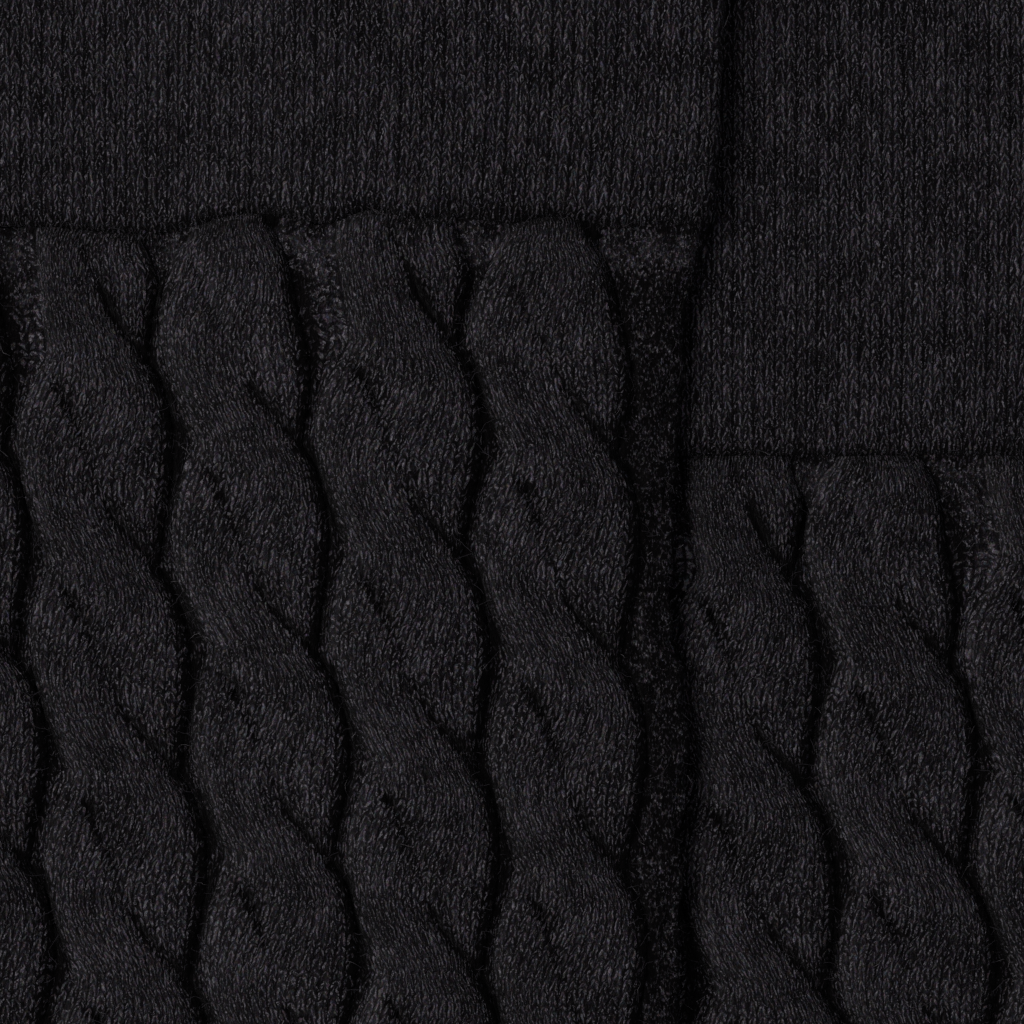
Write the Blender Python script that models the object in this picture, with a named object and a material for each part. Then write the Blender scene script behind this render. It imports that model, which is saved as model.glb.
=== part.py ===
"""A pair of mid-calf cable-knit socks, laid flat one over the other.

Each sock is a flattened tube in five pieces: cuff, leg, heel pocket, foot and toe. The wall is
plain inside and flat underneath, and the rope cables are raised in the outer points of its upper
face. Sizes are in millimetres; the meshes are in metres. X runs across the leg, Y up the leg
towards the cuff and Z up from the surface that the pair lies on.
"""

import math

import bmesh
import bpy
import numpy as np
from mathutils.geometry import delaunay_2d_cdt

MM = 0.001
COLLECTION = "mid_calf_sock_pair"

# Place of the sock that lies underneath, measured from the one on top
UNDER_RIGHT = 68.5
UNDER_DOWN = 24.5

# Thickness of the knit, and of the air left inside a flattened sock
LEG_WALL = 1.5
CUFF_WALL = 2.2
HEEL_WALL = 1.8
INSIDE_GAP = 0.8
MOUTH_GAP = 1.6
MOUTH_DEPTH = 22.0
SEAM_GAP = 0.3
FOLD_ROUND = 3.0
INSIDE_ROUND = 1.5

# Rope cables: five columns on a face of the leg, and two on each side of the instep
CABLE_HEIGHT = 2.3
COLUMN_PITCH = 16.0
CABLE_REPEAT = 21.95
INSTEP_COLUMNS = (-2, -1)
COLUMNS = (-2, -1, 0, 1, 2)
# How much each column leans to the right as it runs down the leg, in mm for each mm
COLUMN_LEAN = {-2: 0.05, -1: 0.08, 0: 0.084, 1: 0.067, 2: 0.013}
LEAN_WAVE = 200.0
LEAN_CENTRE = 42.0
# Distance from the cuff seam to each column's first crossing, and how much less it is underneath
FIRST_CROSSING = {-2: 23.0, -1: 13.6, 0: 22.7, 1: 12.4, 2: 23.6}
UNDER_CABLES_UP = 1.3
# One strand down its two repeats: its edges in shares of the pitch, from the cable's middle
STRAND_SECTIONS = (
    # repeats, left, right, height
    (0.00, -0.38, -0.02, 0.00),
    (0.12, -0.43, 0.02, 0.64),
    (0.30, -0.48, 0.05, 0.87),
    (0.45, -0.505, 0.05, 0.96),
    (0.62, -0.49, 0.04, 1.00),
    (0.75, -0.455, 0.085, 1.02),
    (0.88, -0.41, 0.21, 1.03),
    (1.00, -0.38, 0.355, 1.03),
    (1.12, -0.36, 0.46, 1.01),
    (1.28, -0.28, 0.52, 0.98),
    (1.47, -0.24, 0.535, 0.95),
    (1.66, -0.20, 0.50, 0.88),
    (1.85, -0.10, 0.44, 0.74),
    (2.00, 0.06, 0.40, 0.52),
    (2.12, 0.18, 0.37, 0.25),
)
STRAND_END = 2.12
STRAND_ROUNDNESS = 2.6
# Where a strand comes out from under the other, the two join over this height, which then fades
JOIN_HEIGHT = 0.4
JOIN_LEAST = 0.03
JOIN_START = 0.1
JOIN_END = 0.72
JOIN_FADE = 0.25
JOIN_RISE = 4.0
# The crease where a strand dives under the next: where it starts and ends, its width and depth
CREASE_START = 0.6
CREASE_END = 1.16
CREASE_RISE = 0.25
CREASE_FADE = 0.1
CREASE_HALF = 0.034
CREASE_DEPTH = 0.5
# How far down from the seam each cable's start is drawn in, in even and odd columns, and by how much
START_REACH = (3.0, 7.0)
START_PINCH = (0.06, 0.13)
START_RISE = 1.8
START_SHARE = 0.3

# Heights where one sock lies on the other
PRESSED_SHARE = 0.4
PRESSED_RUN = 5.0
CLEARANCE = 0.3
DRAPE_RUN = 40.0
DRAPE_REACH = 2.0

# Ends of the pieces along the sock, from the cuff seam, and the heel pocket's depth
CUFF_TOP = -56.0
LEG_END = 108.0
HEEL_END = 175.5
TOE_START = 262.0
TOE_TIP = 290.0
POCKET_EDGE = 40.0
CABLE_END = 258.0
CABLE_FADE = 6.0

# Both edges of the flat sock at each section, front (shin, instep) and back (calf, sole)
CUFF_SECTIONS = (
    # along, front_x, front_y, back_x, back_y
    (-56.0, -48.8, 56.0, 49.6, 56.0),
    (-28.0, -48.6, 28.0, 49.4, 28.0),
    (-8.0, -48.3, 8.0, 48.7, 8.0),
    (0.0, -48.0, 0.0, 48.0, 0.0),
)
BODY_SECTIONS = (
    # along, front_x, front_y, back_x, back_y
    (0.0, -47.4, 0.0, 47.6, 0.0),
    (4.0, -46.7, -4.0, 46.7, -4.0),
    (8.0, -45.8, -8.0, 45.7, -8.0),
    (14.0, -45.0, -14.0, 45.2, -14.0),
    (28.0, -44.0, -28.0, 43.8, -28.0),
    (40.0, -44.2, -40.0, 43.8, -40.0),
    (54.0, -45.0, -54.0, 45.6, -54.0),
    (68.0, -44.4, -68.0, 44.8, -68.0),
    (88.0, -44.6, -88.0, 44.6, -88.0),
    (108.0, -44.0, -108.0, 44.8, -108.0),
    (119.3, -44.8, -113.7, 46.5, -138.0),
    (129.0, -46.6, -118.3, 49.5, -169.0),
    (136.5, -48.7, -121.5, 46.0, -195.0),
    (144.0, -51.3, -124.3, 28.5, -213.0),
    (153.0, -55.0, -127.0, -3.0, -217.0),
    (164.3, -60.3, -129.2, -37.0, -215.5),
    (175.5, -66.0, -130.0, -66.0, -213.0),
    (200.0, -90.5, -132.5, -91.0, -213.5),
    (225.0, -115.5, -135.0, -116.0, -214.0),
    (250.0, -140.5, -138.5, -140.0, -213.5),
    (262.0, -152.0, -142.0, -151.5, -211.5),
    (276.0, -166.0, -150.5, -165.0, -204.5),
    (284.0, -174.0, -159.5, -173.6, -195.5),
    (288.5, -178.8, -168.2, -178.8, -186.8),
    (290.0, -180.5, -177.0, -180.5, -178.0),
)

# Spacing of the mesh's points
FOLD_STEP = 7.0
PLAIN_STEP = 11.0
CROSS_STEP = 9.0
POCKET_STEP = 5.0
FOLD_LINES = (0.5, 1.4, 3.0)
CABLE_ROWS = (0.0, 0.14, 0.3, 0.46, 0.62, 0.76, 0.9)
ACROSS_CABLE = (0.0, 0.07, 0.2, 0.42, 0.62, 0.82, 0.93, 1.0)
CREASE_PLACES = (0.66, 0.76, 0.86, 0.96, 1.06)
CREASE_REACH = 0.97
DRAPE_LINES = (-1.2, -10.0, -20.0, -30.0, -40.0)
BORDER_CLEAR = 0.4
CUT_CLEAR = 1.2
CABLE_CLEAR = 0.6
FOLD_CLEAR = 0.7
STOP_CLEAR = 0.35
PLAIN_MARGIN = 5.0
BEND_CLEAR = 4.5
PLAIN_CLEAR = 4.5

PLAIN_CHARCOAL = (0.0112, 0.0102, 0.0118, 1.0)
CABLE_CHARCOAL = (0.0108, 0.0098, 0.0113, 1.0)
WELT_ROUGHNESS = 0.9
KNIT_ROUGHNESS = 0.94


def clear_scene():
    for item in list(bpy.data.objects):
        bpy.data.objects.remove(item, do_unlink=True)


def smooth(x):
    """An even rise from 0 to 1."""
    x = np.clip(x, 0.0, 1.0)
    return x * x * x * (x * (6.0 * x - 15.0) + 10.0)


def through(table, along):
    """Values of a section table at any place along the sock, on smooth curves."""
    rows = np.array(table)
    at, values = rows[:, 0], rows[:, 1:]
    slopes = np.gradient(values, at, axis=0)
    along = np.atleast_1d(np.asarray(along, float))
    i = np.clip(np.searchsorted(at, along, side="right") - 1, 0, len(at) - 2)
    step = at[i + 1] - at[i]
    u = ((along - at[i]) / step)[:, None]
    step = step[:, None]
    start = (1 + 2 * u) * (1 - u) ** 2 * values[i] + u * (1 - u) ** 2 * step * slopes[i]
    end = u * u * (3 - 2 * u) * values[i + 1] + u * u * (u - 1) * step * slopes[i + 1]
    return start + end


def section_width(table, along):
    edges = through(table, along)
    return np.hypot(edges[:, 2] - edges[:, 0], edges[:, 3] - edges[:, 1])


def flat_point(table, along, inward):
    """The flat place at a distance inward from the front edge, on the section there."""
    edges = through(table, along)
    front, back = edges[:, :2], edges[:, 2:]
    width = np.hypot(*(back - front).T)
    share = np.atleast_1d(inward) / np.maximum(width, 1e-6)
    return front + (back - front) * share[:, None]


def column_centre(column, along):
    """Distance of a cable column's middle from the front edge."""
    leg = np.minimum(along, LEG_END)
    wave = 2 * math.pi / LEAN_WAVE
    sway = COLUMN_LEAN[column] / wave * np.sin(wave * (leg - LEAN_CENTRE))
    return section_width(BODY_SECTIONS, leg) / 2 + COLUMN_PITCH * column + sway


def column_pitches(column, along):
    """A column's middle, and the pitch to its neighbours on the left and the right."""
    centre = column_centre(column, along)
    left = right = np.full(len(centre), COLUMN_PITCH)
    if column > COLUMNS[0]:
        left = centre - column_centre(column - 1, along)
    if column < COLUMNS[-1]:
        right = column_centre(column + 1, along) - centre
    return centre, left, right


def cable_edges(down):
    """Left and right edge of a cable, in shares of the pitch."""
    share = down % 1.0
    young, old = through(STRAND_SECTIONS, share), through(STRAND_SECTIONS, share + 1.0)
    oldest = through(STRAND_SECTIONS, np.minimum(share + 2.0, STRAND_END))
    fading = smooth(share / (STRAND_END - 2.0))
    diving = oldest[:, 1] * (1 - fading) + old[:, 1] * fading
    left = np.minimum(young[:, 0], old[:, 0])
    return left, np.maximum(np.maximum(young[:, 1], old[:, 1]), diving)


def cable_sides(sock, column, along):
    """Where the edges of a cable lie, inward from the front edge, drawn together at the seam."""
    centre, left_pitch, right_pitch = column_pitches(column, along)
    left, right = cable_edges(repeats_down(sock, column, along))
    pinch = START_PINCH[column % 2] * (1 - smooth(along / START_REACH[column % 2]))
    return centre + left_pitch * (left + pinch), centre + right_pitch * (right - pinch)


def repeats_down(sock, column, along):
    return (along + sock.cables_up - FIRST_CROSSING[column]) / CABLE_REPEAT


def strand_dome(across, place):
    """Height of one strand at a place across the cable, on a rounded section."""
    left, right, top = through(STRAND_SECTIONS, np.minimum(place, STRAND_END)).T
    off = np.abs(2 * across - left - right) / (right - left)
    dome = np.sqrt(np.clip(1 - off**STRAND_ROUNDNESS, 0.0, 1.0))
    return np.where(place <= STRAND_END, top * dome, 0.0)


def cable_relief(across, down):
    """Height of the rope cable, in shares: the highest of its strands, softly joined where one
    comes out from under the other and parted by a crease where one dives."""
    share = down % 1.0
    young, old, oldest = (strand_dome(across, share + turns) for turns in (0, 1, 2))
    joining = smooth((JOIN_END - share) / JOIN_FADE) * smooth(share / JOIN_START)
    soft = JOIN_LEAST + JOIN_HEIGHT * joining
    higher = np.maximum(young, old)
    joined = higher + np.maximum(soft - np.abs(young - old), 0.0) ** 2 / (4 * soft)
    edge = np.minimum(higher * JOIN_RISE, 1.0)
    place = np.where(share < CREASE_START / 2, share + 1.0, share)
    started = smooth((place - CREASE_START) / CREASE_RISE)
    strength = started * smooth((CREASE_END - place) / CREASE_FADE)
    off = across - through(STRAND_SECTIONS, place)[:, 1]
    crease = np.exp(-((off / CREASE_HALF) ** 2)) * strength
    height = np.maximum(higher * (1 - edge) + joined * edge, oldest)
    return height * (1 - CREASE_DEPTH * crease)


def cable_fade(column, along):
    """The cables start low at the seam, and die away at the heel, or on the instep at the toe."""
    last = CABLE_END if column in INSTEP_COLUMNS else LEG_END
    risen = np.sqrt(1 - (1 - np.clip(along / START_RISE, 0.0, 1.0)) ** 2)
    return smooth((last - along) / CABLE_FADE) * (START_SHARE + (1 - START_SHARE) * risen)


def relief_at(sock, along, inward, columns):
    """Raised height at any place of a face that has the given cable columns."""
    along, inward = np.atleast_1d(along), np.atleast_1d(inward)
    height = np.zeros(len(along))
    for column in columns:
        down = repeats_down(sock, column, along)
        left, right = cable_edges(down)
        low, high = cable_sides(sock, column, along)
        share = (inward - low) / (high - low)
        raised = cable_relief(left + (right - left) * share, down) * cable_fade(column, along)
        height = np.maximum(height, np.where((share > 0) & (share < 1), raised, 0.0))
    return CABLE_HEIGHT * height


def sock_outline():
    """The flat sock's outline as one closed run of points."""
    cuff = np.linspace(CUFF_TOP, 0.0, 12)
    body = np.concatenate([np.linspace(0.0, TOE_START, 90), np.linspace(TOE_START + 1, TOE_TIP, 24)])
    over_cuff, over_body = through(CUFF_SECTIONS, cuff), through(BODY_SECTIONS, body)
    front = np.concatenate([over_cuff[:, :2], over_body[:, :2]])
    back = np.concatenate([over_cuff[:, 2:], over_body[:, 2:]])
    return np.concatenate([front, back[::-1]])


def distance_inside(points, outline):
    """Signed distance to a closed outline, positive inside it."""
    start, end = outline, np.roll(outline, -1, axis=0)
    run = end - start
    length = np.maximum((run**2).sum(axis=1), 1e-12)
    apart = points[:, None, :] - start[None]
    share = np.clip((apart * run[None]).sum(axis=2) / length, 0.0, 1.0)
    nearest = np.linalg.norm(apart - run[None] * share[..., None], axis=2).min(axis=1)
    y = points[:, 1][:, None]
    spans = (start[:, 1][None] > y) != (end[:, 1][None] > y)
    rise = np.where(np.abs(run[:, 1]) < 1e-9, 1e-9, run[:, 1])
    crossing = start[:, 0][None] + (y - start[:, 1][None]) * (run[:, 0] / rise)[None]
    inside = (spans & (crossing > points[:, 0][:, None])).sum(axis=1) % 2 == 1
    return np.where(inside, nearest, -nearest)


def fold_distance(table, points):
    """Distance of flat points to a piece's folded edges, leaving out its open ends."""
    edges = through(table, np.linspace(table[0][0], table[-1][0], 200))
    start = np.concatenate([edges[:-1, :2], edges[:-1, 2:]])
    run = np.concatenate([edges[1:, :2], edges[1:, 2:]]) - start
    length = np.maximum((run**2).sum(axis=1), 1e-12)
    apart = points[:, None, :] - start[None]
    share = np.clip((apart * run[None]).sum(axis=2) / length, 0.0, 1.0)
    return np.linalg.norm(apart - run[None] * share[..., None], axis=2).min(axis=1)


OUTLINE = sock_outline()
UNDER_SHIFT = np.array([UNDER_RIGHT, -UNDER_DOWN])
UNDER_HEIGHT = 2 * CUFF_WALL + INSIDE_GAP + CLEARANCE


class Sock:
    """One of the pair: which one it is, and what that does to its heights."""

    def __init__(self, name, on_top):
        self.name = name
        self.on_top = on_top
        self.shift = np.zeros(2) if on_top else UNDER_SHIFT
        self.mouth = MOUTH_GAP if on_top else 0.0
        self.cables_up = 0.0 if on_top else UNDER_CABLES_UP

    def lift(self, points):
        """Height of what lies under the sock at flat places of its own."""
        if not self.on_top:
            return np.zeros(len(points))
        inside = distance_inside(points - UNDER_SHIFT, OUTLINE)
        return UNDER_HEIGHT * smooth((inside + DRAPE_RUN) / (DRAPE_RUN - DRAPE_REACH))

    def pressed(self, points):
        """How much of the cables' height the sock on top leaves."""
        if self.on_top:
            return np.ones(len(points))
        inside = distance_inside(points + UNDER_SHIFT, OUTLINE)
        return 1 - PRESSED_SHARE * smooth((inside + PRESSED_RUN) / PRESSED_RUN)

    def drape_points(self):
        """Points along the lines where the sock on top bends over the other."""
        if not self.on_top:
            return np.zeros((0, 2))
        run = np.roll(OUTLINE, -1, axis=0) - np.roll(OUTLINE, 1, axis=0)
        normal = np.stack([run[:, 1], -run[:, 0]], axis=1)
        normal = normal / np.maximum(np.linalg.norm(normal, axis=1), 1e-9)[:, None]
        inside = distance_inside(OUTLINE + 0.5 * normal, OUTLINE)[:, None]
        normal = np.where(inside > 0, normal, -normal)
        lines = []
        for offset in DRAPE_LINES:
            line = OUTLINE + UNDER_SHIFT + offset * normal
            far = distance_inside(line - UNDER_SHIFT, OUTLINE)
            lines.append(line[np.abs(far - offset) < 0.5])
        return np.concatenate(lines)


class Piece:
    """One knitted piece: a wall round the flat region between its folds and its cuts."""

    def __init__(self, sock, table, wall, columns=()):
        self.sock, self.table, self.wall, self.columns = sock, table, wall, columns

    def gap(self, along):
        opened = smooth((CUFF_TOP + MOUTH_DEPTH - along) / MOUTH_DEPTH)
        return INSIDE_GAP + self.sock.mouth * opened

    def outer(self, flat, along, inward, on_fold, upper):
        """Points of the outside, on the upper or the under face."""
        gap = self.gap(along)
        middle = self.wall + gap / 2
        edge = np.where(on_fold, 0.0, fold_distance(self.table, flat))
        rounded = np.sqrt(1 - (1 - np.clip(edge / FOLD_ROUND, 0.0, 1.0)) ** 2)
        height = middle + (middle if upper else -middle) * rounded
        if upper and self.columns:
            relief = relief_at(self.sock, along, inward, self.columns) * self.sock.pressed(flat)
            height = height + np.where(on_fold, 0.0, relief)
        return self.placed(flat, height)

    def inner(self, flat, along, _inward, on_fold, upper):
        """Points of the inside, which is plain."""
        gap = self.gap(along)
        middle = self.wall + gap / 2
        edge = np.where(on_fold, 0.0, fold_distance(self.table, flat) - self.wall)
        opened = np.clip(edge / INSIDE_ROUND, 0.0, 1.0)
        height = middle + (gap / 2 if upper else -gap / 2) * opened
        return self.placed(flat, height)

    def placed(self, flat, height):
        height = height + self.sock.lift(flat)
        return np.column_stack([flat + self.sock.shift, height])


def spaced(first, last, step):
    return np.linspace(first, last, max(2, int(round(abs(last - first) / step)) + 1))


def crossing_stops(sock, table, along, low, high, columns):
    """Distances inward at which a cut across the sock has its points."""
    width = float(section_width(table, along)[0])
    high = min(high, width)
    stops = [low, high]
    if low < 0.01:
        stops += list(FOLD_LINES)
    if high > width - 0.01:
        stops += [width - line for line in FOLD_LINES]
    for column in columns:
        left, right = (float(side[0]) for side in cable_sides(sock, column, np.array([along])))
        stops += [left + (right - left) * share for share in ACROSS_CABLE]
    if not columns:
        stops += list(spaced(low + CROSS_STEP, high - CROSS_STEP, CROSS_STEP))
    kept = []
    for stop in sorted(stops):
        inside = low <= stop <= high
        clear = all(abs(stop - other) > STOP_CLEAR for other in kept)
        near_end = min(stop - low, high - stop) < STOP_CLEAR and stop not in (low, high)
        if inside and clear and not near_end:
            kept.append(stop)
    return np.array(kept)


def cut_across(table, along, low, high, sock=None, columns=()):
    """A cut on the section at one place, from one distance inward to another."""
    inward = crossing_stops(sock, table, along, min(low, high), max(low, high), columns)
    if low > high:
        inward = inward[::-1]
    return np.full(len(inward), along), inward


def cut_along(inward, first, last):
    """A cut down the sock at a fixed distance from its front edge."""
    along = spaced(first, last, POCKET_STEP)
    return along, np.full(len(along), inward)


def inner_inward(table, along, inward, wall):
    """Where a cut's points go on the inside, which starts a wall in from each fold."""
    width = section_width(table, along)
    low = np.maximum(inward, wall + 0.5 * inward)
    high = width - np.maximum(width - inward, wall + 0.5 * (width - inward))
    return np.where(inward < width / 2, low, high)


def left_of(flat):
    """Unit steps to the left of a run of points, lengthened at its corners."""
    run = np.diff(flat, axis=0)
    side = np.stack([-run[:, 1], run[:, 0]], axis=1)
    side = side / np.linalg.norm(side, axis=1)[:, None]
    before, after = np.vstack([side[:1], side]), np.vstack([side, side[-1:]])
    return (before + after) / (1 + (before * after).sum(axis=1))[:, None]


def along_edge(table, front, first, last):
    """Evenly spaced points of a folded edge, and their unit steps to its left."""
    fine = np.linspace(first, last, 120)
    side = slice(0, 2) if front else slice(2, 4)
    line = through(table, fine)[:, side]
    length = np.concatenate([[0], np.cumsum(np.linalg.norm(np.diff(line, axis=0), axis=1))])
    stops = spaced(0.0, length[-1], FOLD_STEP)
    along = np.interp(stops, length, fine)
    steps = np.stack([np.interp(stops, length, row) for row in left_of(line).T], axis=1)
    return along, through(table, along)[:, side], steps


class Region:
    """The flat region of a piece: its border points, and the points inside it."""

    def __init__(self, piece):
        self.piece = piece
        self.along, self.inward, self.flat, self.on_fold = [], [], [], []
        self.inner_flat = []

    def fold(self, front, first, last, keep_end=False):
        """A folded edge between two cuts, without its ends, which the cuts give."""
        table = self.piece.table
        along, outer, steps = along_edge(table, front, first, last)
        kept = slice(1, None) if keep_end else slice(1, -1)
        along, outer, steps = along[kept], outer[kept], steps[kept]
        inward = np.zeros(len(along)) if front else section_width(table, along)
        self.add(along, inward, outer, True)
        self.inner_flat.append(outer + steps * self.piece.wall)

    def cut(self, stretches, free=False):
        """A cut edge, from one fold to another, of one or more stretches."""
        table = self.piece.table
        along = np.concatenate([a if n == 0 else a[1:] for n, (a, _) in enumerate(stretches)])
        inward = np.concatenate([i if n == 0 else i[1:] for n, (_, i) in enumerate(stretches)])
        outer = flat_point(table, along, inward)
        within = flat_point(table, along, inner_inward(table, along, inward, self.piece.wall))
        if not free:
            offset = left_of(outer) * SEAM_GAP / 2
            outer, within = outer + offset, within + offset
        ends = np.zeros(len(along), bool)
        ends[[0, -1]] = True
        self.add(along, inward, outer, ends)
        self.inner_flat.append(within)

    def add(self, along, inward, flat, on_fold):
        self.along.append(along)
        self.inward.append(inward)
        self.flat.append(flat)
        self.on_fold.append(np.full(len(along), on_fold) if np.ndim(on_fold) == 0 else on_fold)

    def closed(self):
        """The border as arrays, and which of its edges are cut."""
        self.cut_edges = []
        count = 0
        for points, folds in zip(self.flat, self.on_fold):
            if not folds.all():
                self.cut_edges += [(count + n, count + n + 1) for n in range(len(points) - 1)]
            count += len(points)
        self.along = np.concatenate(self.along)
        self.inward = np.concatenate(self.inward)
        self.flat = np.concatenate(self.flat)
        self.on_fold = np.concatenate(self.on_fold)
        self.inner_flat = np.concatenate(self.inner_flat)


def place_in_sock(table, flat, span):
    """The place along the sock and inward of flat points, found on close sections."""
    along = np.arange(span[0], span[1] + 0.01, 1.0)
    edges = through(table, along)
    front, back = edges[:, :2], edges[:, 2:]
    run = back - front
    width = np.maximum(np.hypot(*run.T), 1e-6)
    unit = run / width[:, None]
    apart = flat[:, None, :] - front[None]
    inward = (apart * unit[None]).sum(axis=2)
    over = np.clip(inward, 0.0, width[None])
    off = np.linalg.norm(apart - unit[None] * over[..., None], axis=2)
    best = off.argmin(axis=1)
    rows = np.arange(len(flat))
    return along[best], over[rows, best]


def places_down(sock, column, span, shares):
    """Places along the sock at the given shares of each repeat of a column, clear of its cuts."""
    first = FIRST_CROSSING[column] - sock.cables_up
    low = math.floor((span[0] - first) / CABLE_REPEAT) - 1
    high = math.ceil((span[1] - first) / CABLE_REPEAT) + 1
    repeats = np.arange(low, high)[:, None] + np.array(shares)[None]
    places = first + CABLE_REPEAT * repeats
    return np.where((places > span[0] + CUT_CLEAR) & (places < span[1] - CUT_CLEAR), places, np.nan)


def crease_points(sock, span, columns):
    """Points down both edges of each cable and along the creases of its strands, with the edges
    that join them."""
    along, inward, edges = [], [], []

    def line(places, distances):
        """A run of joined points. A place that is not a number breaks it."""
        previous = None
        for place, distance in zip(places, distances):
            if np.isnan(place):
                previous = None
                continue
            along.append(place)
            inward.append(distance)
            if previous is not None:
                edges.append((previous, len(along) - 1))
            previous = len(along) - 1

    for column in columns:
        places = places_down(sock, column, span, CABLE_ROWS).ravel()
        places = places[~np.isnan(places)]
        for side in cable_sides(sock, column, places):
            line(places, side)
        for places in places_down(sock, column, span, CREASE_PLACES):
            known = np.where(np.isnan(places), span[0], places)
            left, right = cable_edges(repeats_down(sock, column, known))
            low, high = cable_sides(sock, column, known)
            across = through(STRAND_SECTIONS, np.array(CREASE_PLACES))[:, 1]
            share = (across - left) / (right - left)
            within = np.where(share < CREASE_REACH, places, np.nan)
            line(within, low + (high - low) * share)
    return np.array(along), np.array(inward), edges


def cable_points(sock, span, columns):
    """Points on rows across each cable, between its edges."""
    along, inward = [], []
    for column in columns:
        places = places_down(sock, column, span, CABLE_ROWS).ravel()
        places = places[~np.isnan(places)]
        low, high = cable_sides(sock, column, places)
        for share in ACROSS_CABLE[1:-1]:
            along.append(places)
            inward.append(low + (high - low) * share)
    return np.concatenate(along), np.concatenate(inward)


def fold_line_points(table, span):
    """Points that round the folds, a little way in from both edges."""
    alongs, inwards, flats = [], [], []
    for front in (True, False):
        ends = span if front else span[::-1]
        along, edge, steps = along_edge(table, front, *ends)
        width = section_width(table, along)
        for line in FOLD_LINES:
            alongs.append(along)
            inwards.append(np.full(len(along), line) if front else width - line)
            flats.append(edge + line * steps)
    return np.concatenate(alongs), np.concatenate(inwards), np.concatenate(flats)


def plain_points(table, span, step):
    """An even scatter of points on rows across the sock."""
    along, inward = [], []
    for row, place in enumerate(spaced(span[0], span[1], step)):
        width = float(section_width(table, place)[0])
        start = PLAIN_MARGIN + (step / 2 if row % 2 else 0.0)
        for distance in np.arange(start, width - PLAIN_MARGIN, step):
            along.append(place)
            inward.append(distance)
    return np.array(along), np.array(inward)


def thinned(points, kept, closest):
    """Indices of the points that keep their distance from those already kept."""
    taken = np.zeros((len(points) + len(kept), 2))
    taken[: len(kept)] = kept
    count = len(kept)
    chosen = []
    for n, point in enumerate(points):
        if np.linalg.norm(taken[:count] - point, axis=1).min() > closest:
            taken[count] = point
            count += 1
            chosen.append(n)
    return chosen


def triangles(border, extra, edges):
    """Triangles of the flat region, on its border and extra points."""
    points = [tuple(p) for p in border] + [tuple(p) for p in extra]
    count = len(border)
    joined = [(a + count, b + count) for a, b in edges]
    face = [list(range(count))]
    verts, _, faces, origin, _, within = delaunay_2d_cdt(points, joined, face, 1, 1e-5, True)
    if len(verts) != len(points):
        raise ValueError(f"{len(points)} points became {len(verts)}")
    return [[origin[v][0] for v in f] for f, inside in zip(faces, within) if inside]


def interior(border, kinds):
    """Points of several kinds inside a border, each kind clear of the ones before it."""
    flats, alongs, inwards, links = [], [], [], []
    for along, inward, flat, edges, closest in kinds:
        start = sum(len(f) for f in flats)
        chosen = np.flatnonzero(distance_inside(flat, border) > BORDER_CLEAR)
        if not edges:
            taken = np.concatenate([border] + flats)
            chosen = chosen[thinned(flat[chosen], taken, closest)]
        number = {int(old): start + new for new, old in enumerate(chosen)}
        links += [(number[a], number[b]) for a, b in edges if a in number and b in number]
        flats.append(flat[chosen])
        alongs.append(along[chosen])
        inwards.append(inward[chosen])
    return np.concatenate(flats), np.concatenate(alongs), np.concatenate(inwards), links


def points_of_kinds(piece, span):
    """Points for the cables, the folds, the bends over the other sock and the plain knit."""
    table = piece.table
    kinds = {}
    if piece.columns:
        along, inward, edges = crease_points(piece.sock, span, piece.columns)
        kinds["creases"] = (along, inward, flat_point(table, along, inward), edges, 0.0)
        along, inward = cable_points(piece.sock, span, piece.columns)
        kinds["cables"] = (along, inward, flat_point(table, along, inward), [], CABLE_CLEAR)
    along, inward, flat = fold_line_points(table, span)
    kinds["folds"] = (along, inward, flat, [], FOLD_CLEAR)
    flat = piece.sock.drape_points()
    if len(flat):
        along, inward = place_in_sock(table, flat, span)
        kinds["bends"] = (along, inward, flat, [], BEND_CLEAR)
    along, inward = plain_points(table, span, PLAIN_STEP)
    kinds["plain"] = (along, inward, flat_point(table, along, inward), [], PLAIN_CLEAR)
    return kinds


def build_wall(piece, region, span):
    """The piece's closed wall: outside and inside of both faces, and its cut edges."""
    region.closed()
    kinds = points_of_kinds(piece, span)
    under_kinds = [kind for name, kind in kinds.items() if name not in ("creases", "cables")]
    inner_kinds = [kind for name, kind in kinds.items() if name in ("bends", "plain")]
    bm = bmesh.new()

    def sheet(border, kinds, surface, upper):
        flat, along, inward, links = interior(border, kinds)
        faces = triangles(border, flat, links)
        flat = np.concatenate([border, flat])
        along = np.concatenate([region.along, along])
        inward = np.concatenate([region.inward, inward])
        on_fold = np.zeros(len(flat), bool)
        on_fold[: len(border)] = region.on_fold
        points = surface(flat, along, inward, on_fold, upper)
        verts = [bm.verts.new(p * MM) for p in points]
        for face in faces:
            bm.faces.new([verts[v] for v in face])
        return verts

    for upper in (True, False):
        outer_kinds = list(kinds.values()) if upper else under_kinds
        outer = sheet(region.flat, outer_kinds, piece.outer, upper)
        inner = sheet(region.inner_flat, inner_kinds, piece.inner, upper)
        for a, b in region.cut_edges:
            bm.faces.new((outer[a], outer[b], inner[b], inner[a]))
    bmesh.ops.remove_doubles(bm, verts=bm.verts, dist=2e-6)
    bmesh.ops.triangulate(bm, faces=bm.faces)
    bmesh.ops.recalc_face_normals(bm, faces=bm.faces)
    return bm


def as_object(bm, name, material, collection):
    mesh = bpy.data.meshes.new(name)
    bm.to_mesh(mesh)
    bm.free()
    mesh.materials.append(material)
    mesh.shade_smooth()
    item = bpy.data.objects.new(name, mesh)
    collection.objects.link(item)
    return item


def knit_material(name, colour, roughness):
    material = bpy.data.materials.new(name)
    material.use_nodes = True
    shader = material.node_tree.nodes["Principled BSDF"]
    shader.inputs["Base Color"].default_value = colour
    shader.inputs["Roughness"].default_value = roughness
    shader.inputs["Metallic"].default_value = 0.0
    material.diffuse_color = colour
    return material


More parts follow.
